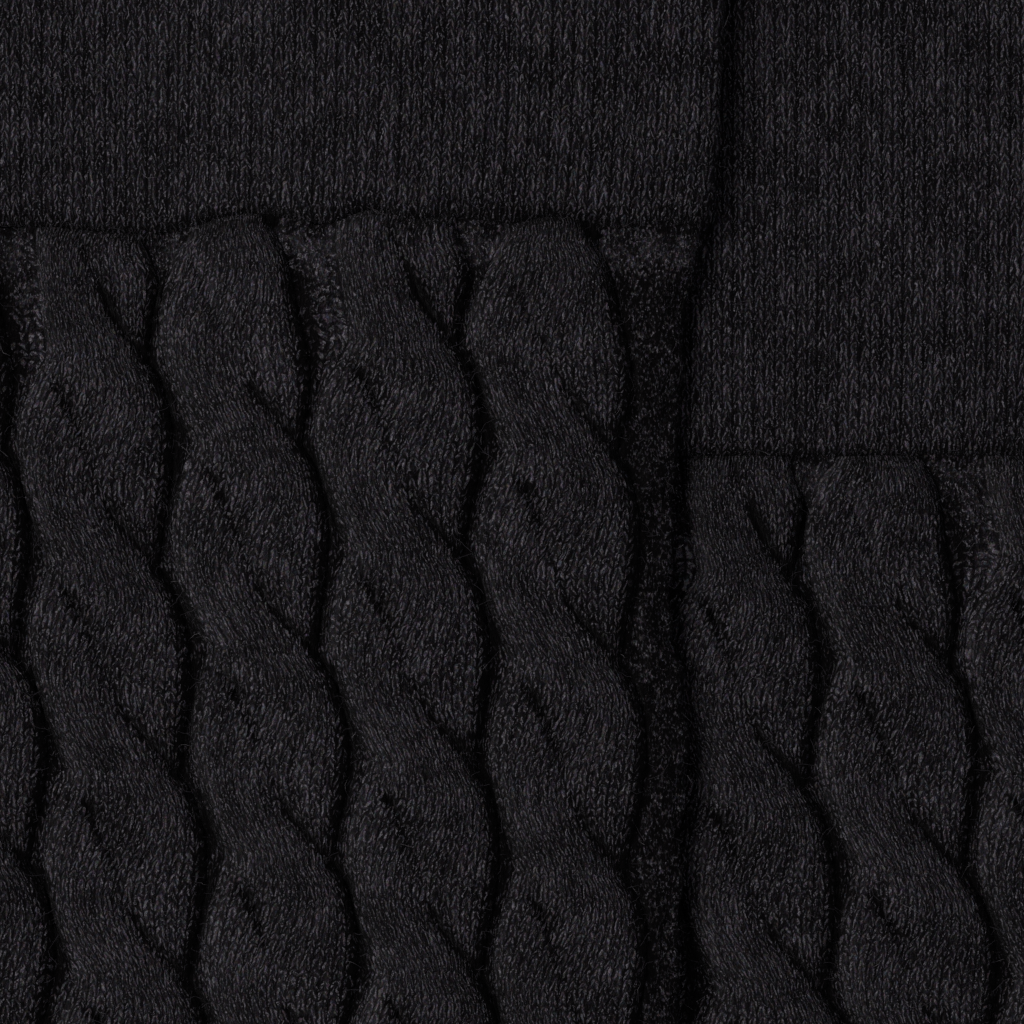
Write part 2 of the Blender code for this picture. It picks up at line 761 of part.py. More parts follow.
def full(table, along, sock=None, columns=()):
    """A cut right across the sock, from the front fold to the back one."""
    return cut_across(table, along, 0.0, float(section_width(table, along)[0]), sock, columns)


def turned(cut):
    """The same cut run the other way."""
    return cut[0][::-1], cut[1][::-1]


def pocket_cut():
    """The heel's edge: across the back of the ankle, along its side and across the sole."""
    table = BODY_SECTIONS
    ankle, sole = (float(section_width(table, end)[0]) for end in (LEG_END, HEEL_END))
    return (
        cut_across(table, LEG_END, ankle, POCKET_EDGE),
        cut_along(POCKET_EDGE, LEG_END, HEEL_END),
        cut_across(table, HEEL_END, POCKET_EDGE, sole),
    )


def make_cuff(sock):
    """Doubled welt at the top, its mouth open."""
    piece = Piece(sock, CUFF_SECTIONS, CUFF_WALL)
    region = Region(piece)
    region.fold(True, CUFF_TOP, 0.0)
    region.cut([full(piece.table, 0.0)])
    region.fold(False, 0.0, CUFF_TOP)
    region.cut([turned(full(piece.table, CUFF_TOP))], free=True)
    return build_wall(piece, region, (CUFF_TOP, 0.0))


def make_leg(sock):
    """Tube from the cuff seam to the ankle, with five cable columns on its upper face."""
    piece = Piece(sock, BODY_SECTIONS, LEG_WALL, COLUMNS)
    region = Region(piece)
    region.fold(True, 0.0, LEG_END)
    region.cut([full(piece.table, LEG_END, sock, COLUMNS)])
    region.fold(False, LEG_END, 0.0)
    region.cut([turned(full(piece.table, 0.0, sock, COLUMNS))])
    return build_wall(piece, region, (0.0, LEG_END))


def make_heel(sock):
    """Plain pocket at the back of the turn, one cup with a single open edge."""
    piece = Piece(sock, BODY_SECTIONS, HEEL_WALL)
    region = Region(piece)
    region.fold(False, HEEL_END, LEG_END)
    region.cut(list(pocket_cut()))
    return build_wall(piece, region, (LEG_END, HEEL_END))


def make_foot(sock):
    """Instep with two cable columns on the side that shows, and a plain sole."""
    piece = Piece(sock, BODY_SECTIONS, LEG_WALL, INSTEP_COLUMNS)
    region = Region(piece)
    ankle, side, sole = pocket_cut()
    front = cut_across(piece.table, LEG_END, 0.0, POCKET_EDGE, sock, INSTEP_COLUMNS)
    region.fold(True, LEG_END, TOE_START)
    region.cut([full(piece.table, TOE_START, sock, INSTEP_COLUMNS)])
    region.fold(False, TOE_START, HEEL_END)
    region.cut([turned(sole), turned(side), turned(front)])
    return build_wall(piece, region, (LEG_END, TOE_START))


def make_toe(sock):
    """Plain toe cap, closed all round but where it meets the foot."""
    piece = Piece(sock, BODY_SECTIONS, HEEL_WALL)
    region = Region(piece)
    region.fold(True, TOE_START, TOE_TIP, keep_end=True)
    region.fold(False, TOE_TIP, TOE_START)
    region.cut([turned(full(piece.table, TOE_START))])
    return build_wall(piece, region, (TOE_START, TOE_TIP))


MAKERS = {
    "cuff": make_cuff,
    "leg": make_leg,
    "heel": make_heel,
    "foot": make_foot,
    "toe": make_toe,
}


def centre_on_origin(items):
    """Moves the meshes so that the middle of the pair's footprint is the origin."""
    points = np.array([v.co for item in items for v in item.data.vertices])
    middle = (points.min(axis=0) + points.max(axis=0)) / 2
    middle[2] = points[:, 2].min()
    for item in items:
        for vertex in item.data.vertices:
            vertex.co = [place - shift for place, shift in zip(vertex.co, middle)]


def main():
    clear_scene()
    collection = bpy.data.collections.new(COLLECTION)
    bpy.context.scene.collection.children.link(collection)
    for sock in (Sock("top_sock", True), Sock("under_sock", False)):
        for part, make in MAKERS.items():
            colour = CABLE_CHARCOAL if part in ("leg", "foot") else PLAIN_CHARCOAL
            roughness = WELT_ROUGHNESS if part == "cuff" else KNIT_ROUGHNESS
            name = f"{sock.name}_{part}"
            knit = knit_material(f"{name}_knit", colour, roughness)
            as_object(make(sock), name, knit, collection)
    centre_on_origin(collection.objects)


main()
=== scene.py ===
import math

import bpy
import numpy as np
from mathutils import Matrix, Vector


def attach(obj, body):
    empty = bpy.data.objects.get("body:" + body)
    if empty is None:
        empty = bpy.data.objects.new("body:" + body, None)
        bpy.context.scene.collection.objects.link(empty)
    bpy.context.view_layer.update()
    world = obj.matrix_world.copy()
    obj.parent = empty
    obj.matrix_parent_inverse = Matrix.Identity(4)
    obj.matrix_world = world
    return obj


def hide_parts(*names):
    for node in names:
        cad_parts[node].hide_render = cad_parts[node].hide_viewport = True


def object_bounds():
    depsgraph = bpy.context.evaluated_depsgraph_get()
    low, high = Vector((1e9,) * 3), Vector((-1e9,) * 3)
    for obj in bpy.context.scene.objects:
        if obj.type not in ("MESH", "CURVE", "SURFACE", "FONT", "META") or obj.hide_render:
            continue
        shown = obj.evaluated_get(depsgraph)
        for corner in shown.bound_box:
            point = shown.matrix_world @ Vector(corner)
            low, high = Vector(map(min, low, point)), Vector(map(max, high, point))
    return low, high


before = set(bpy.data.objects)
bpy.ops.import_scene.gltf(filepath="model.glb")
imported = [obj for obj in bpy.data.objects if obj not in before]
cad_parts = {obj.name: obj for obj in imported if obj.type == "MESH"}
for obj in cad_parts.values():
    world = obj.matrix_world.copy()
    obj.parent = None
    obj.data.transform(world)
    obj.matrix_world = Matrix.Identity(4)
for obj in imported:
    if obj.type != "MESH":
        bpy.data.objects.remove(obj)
cad_low, cad_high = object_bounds()


# Cuffs: the first thing knitted, in a charcoal wool mix: a welt of plain stockinette folded double,
# 56 mm deep. Its stitches stand in pairs of wales, its mouth is open, and its lower edge rolls a
# little over the seam to the leg. The sock's flat outline and how the pair lies start here too.
MM = 0.001
CUFF_TOP = -56.0
CUFF_WALL = 2.2
INSIDE_GAP = 0.8
MOUTH_GAP = 1.6
MOUTH_DEPTH = 22.0
FOLD_ROUND = 3.0
NEAR_FOLD = 8.0
INSIDE_ROUND = 1.5
CUFF_ROLL = 1.8
CUFF_ROLL_DROP = 1.3
# Painted shade along the seam to the leg: how far it reaches, and how dark it is
CUFF_SEAM_SHADE = 1.5
SEAM_DARK = 0.62
SEAM_HALF = 0.06
CUFF_COURSE = 1.35
PLAIN_GAUGE = (1.13, CUFF_COURSE)
SLANT = 1.25
STITCH_RUN_IN = 5.0
SPARSE_COLUMNS = 14
POINTS_AT_ONCE = 6000
# Both folded edges of the flat sock, front (shin, instep) and back (calf, sole), from the cuff seam
CUFF_SECTIONS = (
    # along, front_x, front_y, back_x, back_y
    (-56.0, -48.8, 56.0, 49.6, 56.0),
    (-28.0, -48.6, 28.0, 49.4, 28.0),
    (-8.0, -48.3, 8.0, 48.7, 8.0),
    (0.0, -48.0, 0.0, 48.0, 0.0),
)
BODY_SECTIONS = (
    # along, front_x, front_y, back_x, back_y
    (0.0, -47.4, 0.0, 47.6, 0.0),
    (4.0, -46.7, -4.0, 46.7, -4.0),
    (8.0, -45.8, -8.0, 45.7, -8.0),
    (14.0, -45.0, -14.0, 45.2, -14.0),
    (28.0, -44.0, -28.0, 43.8, -28.0),
    (40.0, -44.2, -40.0, 43.8, -40.0),
    (54.0, -45.0, -54.0, 45.6, -54.0),
    (68.0, -44.4, -68.0, 44.8, -68.0),
    (88.0, -44.6, -88.0, 44.6, -88.0),
    (108.0, -44.0, -108.0, 44.8, -108.0),
    (119.3, -44.8, -113.7, 46.5, -138.0),
    (129.0, -46.6, -118.3, 49.5, -169.0),
    (136.5, -48.7, -121.5, 46.0, -195.0),
    (144.0, -51.3, -124.3, 28.5, -213.0),
    (153.0, -55.0, -127.0, -3.0, -217.0),
    (164.3, -60.3, -129.2, -37.0, -215.5),
    (175.5, -66.0, -130.0, -66.0, -213.0),
    (200.0, -90.5, -132.5, -91.0, -213.5),
    (225.0, -115.5, -135.0, -116.0, -214.0),
    (250.0, -140.5, -138.5, -140.0, -213.5),
    (262.0, -152.0, -142.0, -151.5, -211.5),
    (276.0, -166.0, -150.5, -165.0, -204.5),
    (284.0, -174.0, -159.5, -173.6, -195.5),
    (288.5, -178.8, -168.2, -178.8, -186.8),
    (290.0, -180.5, -177.0, -180.5, -178.0),
)
TOE_START = 262.0
TOE_TIP = 290.0
TIP_CLOSED = 1.7
# Where the under sock lies from the top one, how high it stands, and how the top one climbs over it
UNDER_SHIFT = np.array([68.5, -24.5])
UNDER_HEIGHT = 2 * CUFF_WALL + INSIDE_GAP + 0.3
DRAPE_RUN = 40.0
DRAPE_REACH = 2.0
PRESSED_SHARE = 0.4
PRESSED_RUN = 5.0
# How far the top sock's seam between cuff and leg is pushed up or down at places across it
SEAM_WAVES = (
    # across, up
    (-50.0, 0.0),
    (-24.0, -0.2),
    (-9.5, -0.8),
    (-0.5, 0.95),
    (8.5, -0.1),
    (12.6, 1.25),
    (16.5, 0.1),
    (21.0, 0.45),
    (26.5, -0.3),
    (32.0, 0.4),
    (38.0, -0.6),
    (44.0, -0.3),
    (50.0, 0.0),
)
SEAM_WAVE_REACH = 7.0
# Loose fibres: the shortest, the longest, how far they bend, half their thickness, least upward slope
FIBRE_SHORT = 0.5 * MM
FIBRE_LONG = 2.2 * MM
FIBRE_CURL = 3.4 * MM
FIBRE_RADIUS = 0.015 * MM
FIBRE_LEAN = 1.45
FIBRE_UPWARD = 0.15
# Kinds of stitch. Faces that seldom show stay smooth, and fibres stand on what lies over the last one
PLAIN = 0.0
PURL = 1.0
SMOOTH_FACE = -1.0
FIBRES_OVER = -0.1
# Noises, in bumps per metre
CURL_NOISE = 700.0
LUMP_NOISE = 1100.0
SWELL_NOISE = 190.0
WANDER_NOISE = 1300.0
SWAY_NOISE = 420.0
LINT_NOISE = 4800.0
DUST_NOISE = 8500.0
CLOUD_NOISE = 240.0
SPECKLE_NOISE = 3000.0
RAGGED_NOISE = 900.0
PALE_NOISE = 420.0
# Where on a piece's map its upper face, under face, inside and cut edges go: lowest place and height
UPPER, UNDER, INSIDE, CUT = range(4)
MAP_ROOMS = ((0.21, 0.78), (0.11, 0.09), (0.01, 0.04), (0.06, 0.04))


def smooth(x):
    """An even rise from 0 to 1."""
    x = np.clip(x, 0.0, 1.0)
    return x * x * x * (x * (6.0 * x - 15.0) + 10.0)


def bell(off):
    """1 at a line, falling off to both sides of it."""
    return np.exp(-(off**2))


def through(table, along):
    """Values of a table of sections at any places along it, on smooth curves."""
    rows = np.array(table)
    at, values = rows[:, 0], rows[:, 1:]
    slopes = np.gradient(values, at, axis=0)
    along = np.asarray(along, float)
    i = np.clip(np.searchsorted(at, along, side="right") - 1, 0, len(at) - 2)
    step = at[i + 1] - at[i]
    u = np.clip((along - at[i]) / step, 0.0, 1.0)[..., None]
    step = step[..., None]
    start = (1 + 2 * u) * (1 - u) ** 2 * values[i] + u * (1 - u) ** 2 * step * slopes[i]
    return start + u * u * (3 - 2 * u) * values[i + 1] + u * u * (u - 1) * step * slopes[i + 1]


def section_width(table, along):
    edges = through(table, along)
    return np.hypot(edges[..., 2] - edges[..., 0], edges[..., 3] - edges[..., 1])


def flat_point(table, along, inward):
    """The flat place at a distance inward from the front edge, on the section there."""
    edges = through(table, along)
    front, back = edges[..., :2], edges[..., 2:]
    share = inward / np.maximum(section_width(table, along), 1e-6)
    return front + (back - front) * share[..., None]


def nearest_on(points, start, end):
    """Distance from each point to the nearest of some straight runs, and whether it is within them."""
    run = end - start
    length = np.maximum((run**2).sum(axis=1), 1e-12)
    rise = np.where(np.abs(run[:, 1]) < 1e-9, 1e-9, run[:, 1])
    nearest, inside = [], []
    for some in np.array_split(points, len(points) // POINTS_AT_ONCE + 1):
        apart = some[:, None, :] - start[None]
        share = np.clip((apart * run[None]).sum(axis=2) / length, 0.0, 1.0)
        nearest.append(np.linalg.norm(apart - run[None] * share[..., None], axis=2).min(axis=1))
        y = some[:, 1][:, None]
        spans = (start[:, 1][None] > y) != (end[:, 1][None] > y)
        crossing = start[:, 0][None] + (y - start[:, 1][None]) * (run[:, 0] / rise)[None]
        inside.append((spans & (crossing > some[:, 0][:, None])).sum(axis=1) % 2 == 1)
    return np.concatenate(nearest), np.concatenate(inside)


def sock_outline():
    """The flat sock's outline as one closed run of points."""
    cuff = through(CUFF_SECTIONS, np.linspace(CUFF_TOP, 0.0, 8))
    places = (np.linspace(0.0, TOE_START, 80), np.linspace(TOE_START + 1.0, TOE_TIP, 24))
    body = through(BODY_SECTIONS, np.concatenate(places))
    front = np.concatenate([cuff[:, :2], body[:, :2]])
    back = np.concatenate([cuff[:, 2:], body[:, 2:]])
    return np.concatenate([front, back[::-1]])


OUTLINE = sock_outline()


def distance_inside(points):
    """Signed distance of flat places to a sock's outline, positive inside it."""
    nearest, inside = nearest_on(points, OUTLINE, np.roll(OUTLINE, -1, axis=0))
    return np.where(inside, nearest, -nearest)


def fold_distance(table, points):
    """Distance of flat places to a piece's folded edges."""
    edges = through(table, np.linspace(table[0][0], table[-1][0], 140))
    start = np.concatenate([edges[:-1, :2], edges[:-1, 2:]])
    end = np.concatenate([edges[1:, :2], edges[1:, 2:]])
    return nearest_on(points, start, end)[0]


class Sock:
    """One of the pair: where it lies, and what that does to its heights."""

    def __init__(self, name, on_top, cables_up):
        self.name, self.on_top, self.cables_up = name, on_top, cables_up
        top = np.array([cad_low.x / MM - BODY_SECTIONS[-1][1], cad_high.y / MM + CUFF_TOP])
        self.shift = top if on_top else top + UNDER_SHIFT

    def lift(self, flat):
        """Height of what lies under the sock at flat places of its own."""
        if not self.on_top:
            return np.zeros(len(flat))
        inside = distance_inside(flat - UNDER_SHIFT)
        return UNDER_HEIGHT * smooth((inside + DRAPE_RUN) / (DRAPE_RUN - DRAPE_REACH))

    def pressed(self, flat):
        """How much of the cables' height the sock on top leaves."""
        if self.on_top:
            return np.ones(len(flat))
        inside = distance_inside(flat + UNDER_SHIFT)
        return 1 - PRESSED_SHARE * smooth((inside + PRESSED_RUN) / PRESSED_RUN)

    def rests_on(self, piece):
        """What a piece of it rests on, which is nothing on the under sock."""
        return [piece] if self.on_top else []


SOCKS = (Sock("top_sock", True, 0.0), Sock("under_sock", False, 1.3))


class Face:
    """Points of one face of a piece, in rows down the sock, with what the stitches need to know and the
    painted shade of each point.
    """

    def __init__(self, along, inward, wale, course, relief=0.0, hollow=0.0, purl=PLAIN):
        self.along, self.inward, self.wale, self.course = along, inward, wale, course
        given = [np.broadcast_to(values, along.shape) for values in (relief, hollow, purl)]
        self.relief, self.hollow, self.purl = given


class Wall:
    """A closed wall of knit round a flat stretch of the sock, outside and inside."""

    def __init__(self, sock, table, wall, rolled=0.0):
        self.sock, self.table, self.wall, self.rolled = sock, table, wall, rolled
        self.places, self.stitches, self.spots, self.faces, self.sides = [], [], [], [], []
        self.count = 0

    def gap(self, along):
        mouth = MOUTH_GAP if self.sock.on_top else 0.0
        return INSIDE_GAP + mouth * smooth((CUFF_TOP + MOUTH_DEPTH - along) / MOUTH_DEPTH)

    def heights(self, face, flat, outside, upper):
        gap = self.gap(face.along.ravel())
        middle = self.wall + gap / 2
        width = section_width(self.table, face.along).ravel()
        near = np.minimum(face.inward.ravel(), width - face.inward.ravel())
        edge = np.full(len(flat), NEAR_FOLD)
        close = near < NEAR_FOLD
        edge[close] = fold_distance(self.table, flat[close])
        edge[near < 1e-3] = 0.0
        if not outside:
            opened = np.clip((edge - self.wall) / INSIDE_ROUND, 0.0, 1.0)
            return middle + (gap / 2 if upper else -gap / 2) * opened
        rounded = np.sqrt(1 - (1 - np.clip(edge / FOLD_ROUND, 0.0, 1.0)) ** 2)
        height = middle + (middle if upper else -middle) * rounded
        if upper:
            height = height + face.relief.ravel() * self.sock.pressed(flat)
            if self.rolled:
                edge = np.clip(1 + (face.along.ravel() - face.along.max()) / CUFF_ROLL, 0.0, 1.0)
                height = height - self.rolled * (1 - np.sqrt(1 - edge**2))
        return height

    def put(self, face, outside, upper):
        """Adds a face's points and returns their numbers, in the same rows."""
        flat = flat_point(self.table, face.along, face.inward).reshape(-1, 2)
        height = self.heights(face, flat, outside, upper) + self.sock.lift(flat)
        if self.sock.on_top:
            push = through(SEAM_WAVES, flat[:, 0])[:, 0] * bell(flat[:, 1] / SEAM_WAVE_REACH)
            flat = flat + np.column_stack([np.zeros(len(flat)), push])
        self.places.append(np.column_stack([flat + self.sock.shift, height]) * MM)
        kind = face.purl if outside and upper else np.full_like(face.along, SMOOTH_FACE)
        self.stitches.append(np.stack([face.wale, face.course, kind], axis=-1).reshape(-1, 3))
        shares = (
            (face.inward - face.inward.min()) / np.ptp(face.inward),
            (face.along - face.along.min()) / np.ptp(face.along),
            face.hollow,
        )
        self.spots.append(np.stack(shares, axis=-1).reshape(-1, 3))
        numbers = self.count + np.arange(len(flat)).reshape(face.along.shape)
        self.count += len(flat)
        return numbers

    def quads(self, numbers, side, inwards=False):
        """Faces between neighbours of a block of points; the block runs down and to the right."""
        a, b, c, d = numbers[:-1, :-1], numbers[1:, :-1], numbers[1:, 1:], numbers[:-1, 1:]
        corners = (a, d, c, b) if inwards else (a, b, c, d)
        new = np.stack([corner.ravel() for corner in corners], axis=1)
        self.faces += new.tolist()
        self.sides += [side] * len(new)

    def zipped(self, one, other, shares_one, shares_other, side, turned=False):
        """Triangles that join two runs of points which go the same way and may share their ends."""
        i, j = 0, 0
        while i < len(one) - 1 or j < len(other) - 1:
            forward = j == len(other) - 1
            if not forward and i < len(one) - 1:
                forward = shares_one[i + 1] <= shares_other[j + 1]
            if forward:
                corners = [one[i], one[i + 1], other[j]]
                i += 1
            else:
                corners = [other[j + 1], other[j], one[i]]
                j += 1
            if len(set(corners)) == 3:
                self.faces.append([int(c) for c in (corners[::-1] if turned else corners)])
                self.sides.append(side)

    def mesh(self, name):
        """The wall as a mesh, with its stitch places, its painted shade and a flat map of its faces."""
        places = np.concatenate(self.places)
        stitches = np.concatenate(self.stitches)
        spots = np.concatenate(self.spots)
        mesh = bpy.data.meshes.new(name)
        mesh.from_pydata(places.tolist(), [], self.faces)
        stitched = mesh.attributes.new("stitches", "FLOAT_VECTOR", "POINT")
        stitched.data.foreach_set("vector", stitches.astype(np.float32).ravel())
        # Painted shade in grooves, creases, along seams and in the loose bands, kept on the points for
        # the material to darken by
        hollow = mesh.attributes.new("hollow", "FLOAT", "POINT")
        hollow.data.foreach_set("value", spots[:, 2].astype(np.float32))
        corners = np.array([len(f) for f in self.faces])
        loops = np.array([v for f in self.faces for v in f])
        side = np.repeat(np.array(self.sides), corners)
        across, down = spots[loops, 0], spots[loops, 1]
        low, tall = np.array(MAP_ROOMS).T[:, side]
        layer = mesh.uv_layers.new(name="OFBake")
        places_on_map = np.stack([0.01 + 0.98 * across, low + tall * (1 - down)], axis=1)
        layer.uv.foreach_set("vector", places_on_map.astype(np.float32).ravel())
        mesh.shade_smooth()
        flat = mesh.attributes.new("sharp_face", "BOOLEAN", "FACE")
        flat.data.foreach_set("value", np.array(self.sides) == CUT)
        return mesh


def rows_down(start, end, course, per_course):
    """Places of the rows of points."""
    return np.linspace(start, end, max(int(round((end - start) / course)), 1) * per_course + 1)


def bent_rows(rows, arrow, course):
    """Rows bent into the stitches' arrows, straight again at both ends."""
    away = np.minimum(rows - rows[0], rows[-1] - rows) / (STITCH_RUN_IN * course)
    return rows[:, None] + SLANT * course * np.clip(away, 0.0, 1.0)[:, None] * arrow[None]


def plain_face(table, start, end, per_wale, per_course, low=0.0):
    """An upper face of plain knit, its columns of points on the wales."""
    wale, course = PLAIN_GAUGE
    rows = rows_down(start, end, course, per_course)
    wales = int(round((float(section_width(table, (start + end) / 2)) - low) / wale))
    wale_at = np.arange(wales * per_wale + 1) / per_wale
    arrow = np.abs(2 * (wale_at % 1.0) - 1)
    along = bent_rows(rows, arrow, course)
    inward = low + (section_width(table, along) - low) * (wale_at / wales)[None]
    return Face(along, inward, np.broadcast_to(wale_at, along.shape), (along - start) / course)


def sparse_face(rows, low, high, wale, course):
    """A face that is seldom seen, with straight rows and a few columns."""
    along = np.broadcast_to(rows[:, None], (len(rows), SPARSE_COLUMNS + 1))
    low, high = np.broadcast_to(low, rows.shape), np.broadcast_to(high, rows.shape)
    inward = low[:, None] + (high - low)[:, None] * np.linspace(0, 1, SPARSE_COLUMNS + 1)[None]
    return Face(along, inward, inward / wale, along / course)


def knit_round(wall, upper, rows, low, high, cut, gauge, tip=False):
    """A flattened stretch of tube. The upper face is dense, the under face and the inside are sparse.
    It is closed at its two ends, or shut there at a tip, and along a side that is cut and not folded."""
    inner_rows = rows
    inner_low = low + (0.0 if cut == "front" else wall.wall)
    inner_high = high - (0.0 if cut == "back" else wall.wall)
    if tip:
        inner_rows = rows[0] + (rows - rows[0]) * (1 - TIP_CLOSED / (rows[-1] - rows[0]))
        inner_high = section_width(wall.table, inner_rows) - wall.wall
    under = sparse_face(rows, low, high, *gauge)
    inside = sparse_face(inner_rows, inner_low, inner_high, *gauge)
    top, bottom = wall.put(upper, True, True), wall.put(under, True, False)
    roof, floor = wall.put(inside, False, True), wall.put(inside, False, False)
    for side, name in ((0, "front"), (-1, "back")):
        if cut == name:
            wall.quads(np.column_stack([top[:, side], roof[:, side]]), CUT, name == "front")
            wall.quads(np.column_stack([bottom[:, side], floor[:, side]]), CUT, name == "back")
        else:
            bottom[:, side], floor[:, side] = top[:, side], roof[:, side]
    wall.quads(top, UPPER)
    wall.quads(bottom, UNDER, True)
    wall.quads(roof, INSIDE, True)
    wall.quads(floor, INSIDE)
    across = [(f.inward[row] - f.inward[0, 0]) for f in (upper, under, inside) for row in (0, -1)]
    shares = [a / max(a[-1], 1e-6) for a in across]
    wall.zipped(top[0], roof[0], shares[0], shares[4], CUT)
    wall.zipped(bottom[0], floor[0], shares[2], shares[4], CUT, True)
    if tip:
        wall.zipped(top[-1], bottom[-1], shares[1], shares[3], CUT, True)
        wall.zipped(roof[-1], floor[-1], shares[5], shares[5], CUT)
    else:
        wall.zipped(top[-1], roof[-1], shares[1], shares[5], CUT, True)
        wall.zipped(bottom[-1], floor[-1], shares[3], shares[5], CUT)


def node(tree, kind, inputs=None, **choices):
    """A node with its choices made and its inputs filled, by a value or by another node's output."""
    made = tree.nodes.new(kind)
    for name, value in choices.items():
        setattr(made, name, value)
    for key, value in (inputs or {}).items():
        if isinstance(value, bpy.types.NodeSocket):
            tree.links.new(value, made.inputs[key])
        else:
            made.inputs[key].default_value = value
    return made


def number(tree, operation, *values):
    """One step of arithmetic on numbers or outputs."""
    return node(tree, "ShaderNodeMath", dict(enumerate(values)), operation=operation).outputs[0]


def product(tree, result, *factors):
    for factor in factors:
        result = number(tree, "MULTIPLY", result, factor)
    return result


def vector(tree, operation, *values):
    """One step of arithmetic on vectors. The second value of a scaling is a number."""
    keys = (0, "Scale") if operation == "SCALE" else range(len(values))
    return node(tree, "ShaderNodeVectorMath", dict(zip(keys, values)), operation=operation).outputs[0]


def joined(tree, x, y, z=0.0):
    return node(tree, "ShaderNodeCombineXYZ", {0: x, 1: y, 2: z}).outputs[0]


def parted(tree, place):
    return node(tree, "ShaderNodeSeparateXYZ", {0: place}).outputs


def noise(tree, place, scale, detail, roughness=0.5):
    """Outputs of a noise: a number first, and a colour. Its scale is in bumps per metre."""
    inputs = {"Vector": place, "Scale": scale, "Detail": detail, "Roughness": roughness}
    return node(tree, "ShaderNodeTexNoise", inputs).outputs


def stretch(tree, value, low, high, to_low=0.0, to_high=1.0):
    """A value's range moved to another one, and held inside it."""
    inputs = {"Value": value, "From Min": low, "From Max": high, "To Min": to_low, "To Max": to_high}
    return node(tree, "ShaderNodeMapRange", inputs, interpolation_type="SMOOTHSTEP").outputs[0]


def blend(tree, share, one, other):
    """A mix of two numbers."""
    return node(tree, "ShaderNodeMix", {0: share, 2: one, 3: other}).outputs[0]


def blend_colours(tree, share, one, other):
    return node(tree, "ShaderNodeMix", {0: share, 6: one, 7: other}, data_type="RGBA").outputs[2]


def add_sockets(tree, way, kind, *names):
    """Inputs or outputs of a node group, by name."""
    for name in names:
        tree.interface.new_socket(name, in_out=way, socket_type=f"NodeSocket{kind}")


def stitch_parts(tree, wale, course, slant=SLANT):
    """Inside one stitch: how near its border a place is, and how far down its own arrow."""
    side = number(tree, "MULTIPLY_ADD", number(tree, "FRACT", wale), 2.0, -1.0)
    side = number(tree, "ABSOLUTE", side)
    return side, number(tree, "SUBTRACT", course, number(tree, "MULTIPLY", side, slant))


def leg_chance(tree, wale, down, wale_early, down_early):
    """A random number of its own for each leg of each stitch, whose borders may come early."""
    half = number(tree, "FLOOR", number(tree, "MULTIPLY_ADD", wale, 2.0, wale_early))
    row = number(tree, "FLOOR", number(tree, "ADD", down, down_early))
    own = node(tree, "ShaderNodeTexWhiteNoise", {0: joined(tree, half, row)}, noise_dimensions="3D")
    return own.outputs["Value"]


def every_other(tree, wale):
    """A wave over two wales, high on the first one."""
    return number(tree, "COSINE", number(tree, "MULTIPLY", wale, math.pi))


def random_value(tree, low, high, seed):
    """A random number, or a random vector, for each point."""
    if isinstance(low, tuple):
        inputs, kind, output = {0: low, 1: high, 8: seed}, "FLOAT_VECTOR", 0
    else:
        inputs, kind, output = {2: low, 3: high, 8: seed}, "FLOAT", 1
    return node(tree, "FunctionNodeRandomValue", inputs, data_type=kind).outputs[output]


def loose_fibres(tree, wall, kind, density):
    """Short bent fibres that stand off the knit of the upper face at random."""
    normal = tree.nodes.new("GeometryNodeInputNormal").outputs[0]
    upward = number(tree, "GREATER_THAN", parted(tree, normal)[2], FIBRE_UPWARD)
    inputs = {
        "Mesh": wall,
        "Selection": product(tree, upward, number(tree, "GREATER_THAN", kind, FIBRES_OVER)),
        "Density": density,
        "Seed": 5,
    }
    scatter = node(tree, "GeometryNodeDistributePointsOnFaces", inputs)
    line = node(tree, "GeometryNodeCurvePrimitiveLine", {"End": (0.0, 0.0, 1.0)}, mode="POINTS")
    line = node(tree, "GeometryNodeResampleCurve", {"Curve": line.outputs[0], "Count": 4})
    inputs = {
        "Points": scatter.outputs["Points"],
        "Instance": line.outputs[0],
        "Rotation": scatter.outputs["Rotation"],
        "Scale": random_value(tree, FIBRE_SHORT, FIBRE_LONG, 11),
    }
    stood = node(tree, "GeometryNodeInstanceOnPoints", inputs)
    leans = (-FIBRE_LEAN, -FIBRE_LEAN, 0.0), (FIBRE_LEAN, FIBRE_LEAN, math.tau)
    lean = random_value(tree, *leans, 12)
    inputs = {"Instances": stood.outputs[0], "Rotation": lean}
    leaning = node(tree, "GeometryNodeRotateInstances", inputs)
    made = node(tree, "GeometryNodeRealizeInstances", {0: leaning.outputs[0]})
    where = tree.nodes.new("GeometryNodeInputPosition").outputs[0]
    curl = vector(tree, "SUBTRACT", noise(tree, where, CURL_NOISE, 1.0)["Color"], (0.5, 0.5, 0.5))
    down = tree.nodes.new("GeometryNodeSplineParameter").outputs["Factor"]
    bend = vector(tree, "SCALE", curl, number(tree, "MULTIPLY", down, FIBRE_CURL))
    bent = node(tree, "GeometryNodeSetPosition", {"Geometry": made.outputs[0], "Offset": bend})
    inputs = {"Resolution": 3, "Radius": FIBRE_RADIUS}
    ring = node(tree, "GeometryNodeCurvePrimitiveCircle", inputs, mode="RADIUS")
    inputs = {"Curve": bent.outputs[0], "Profile Curve": ring.outputs[0], "Fill Caps": True}
    return node(tree, "GeometryNodeCurveToMesh", inputs).outputs[0]


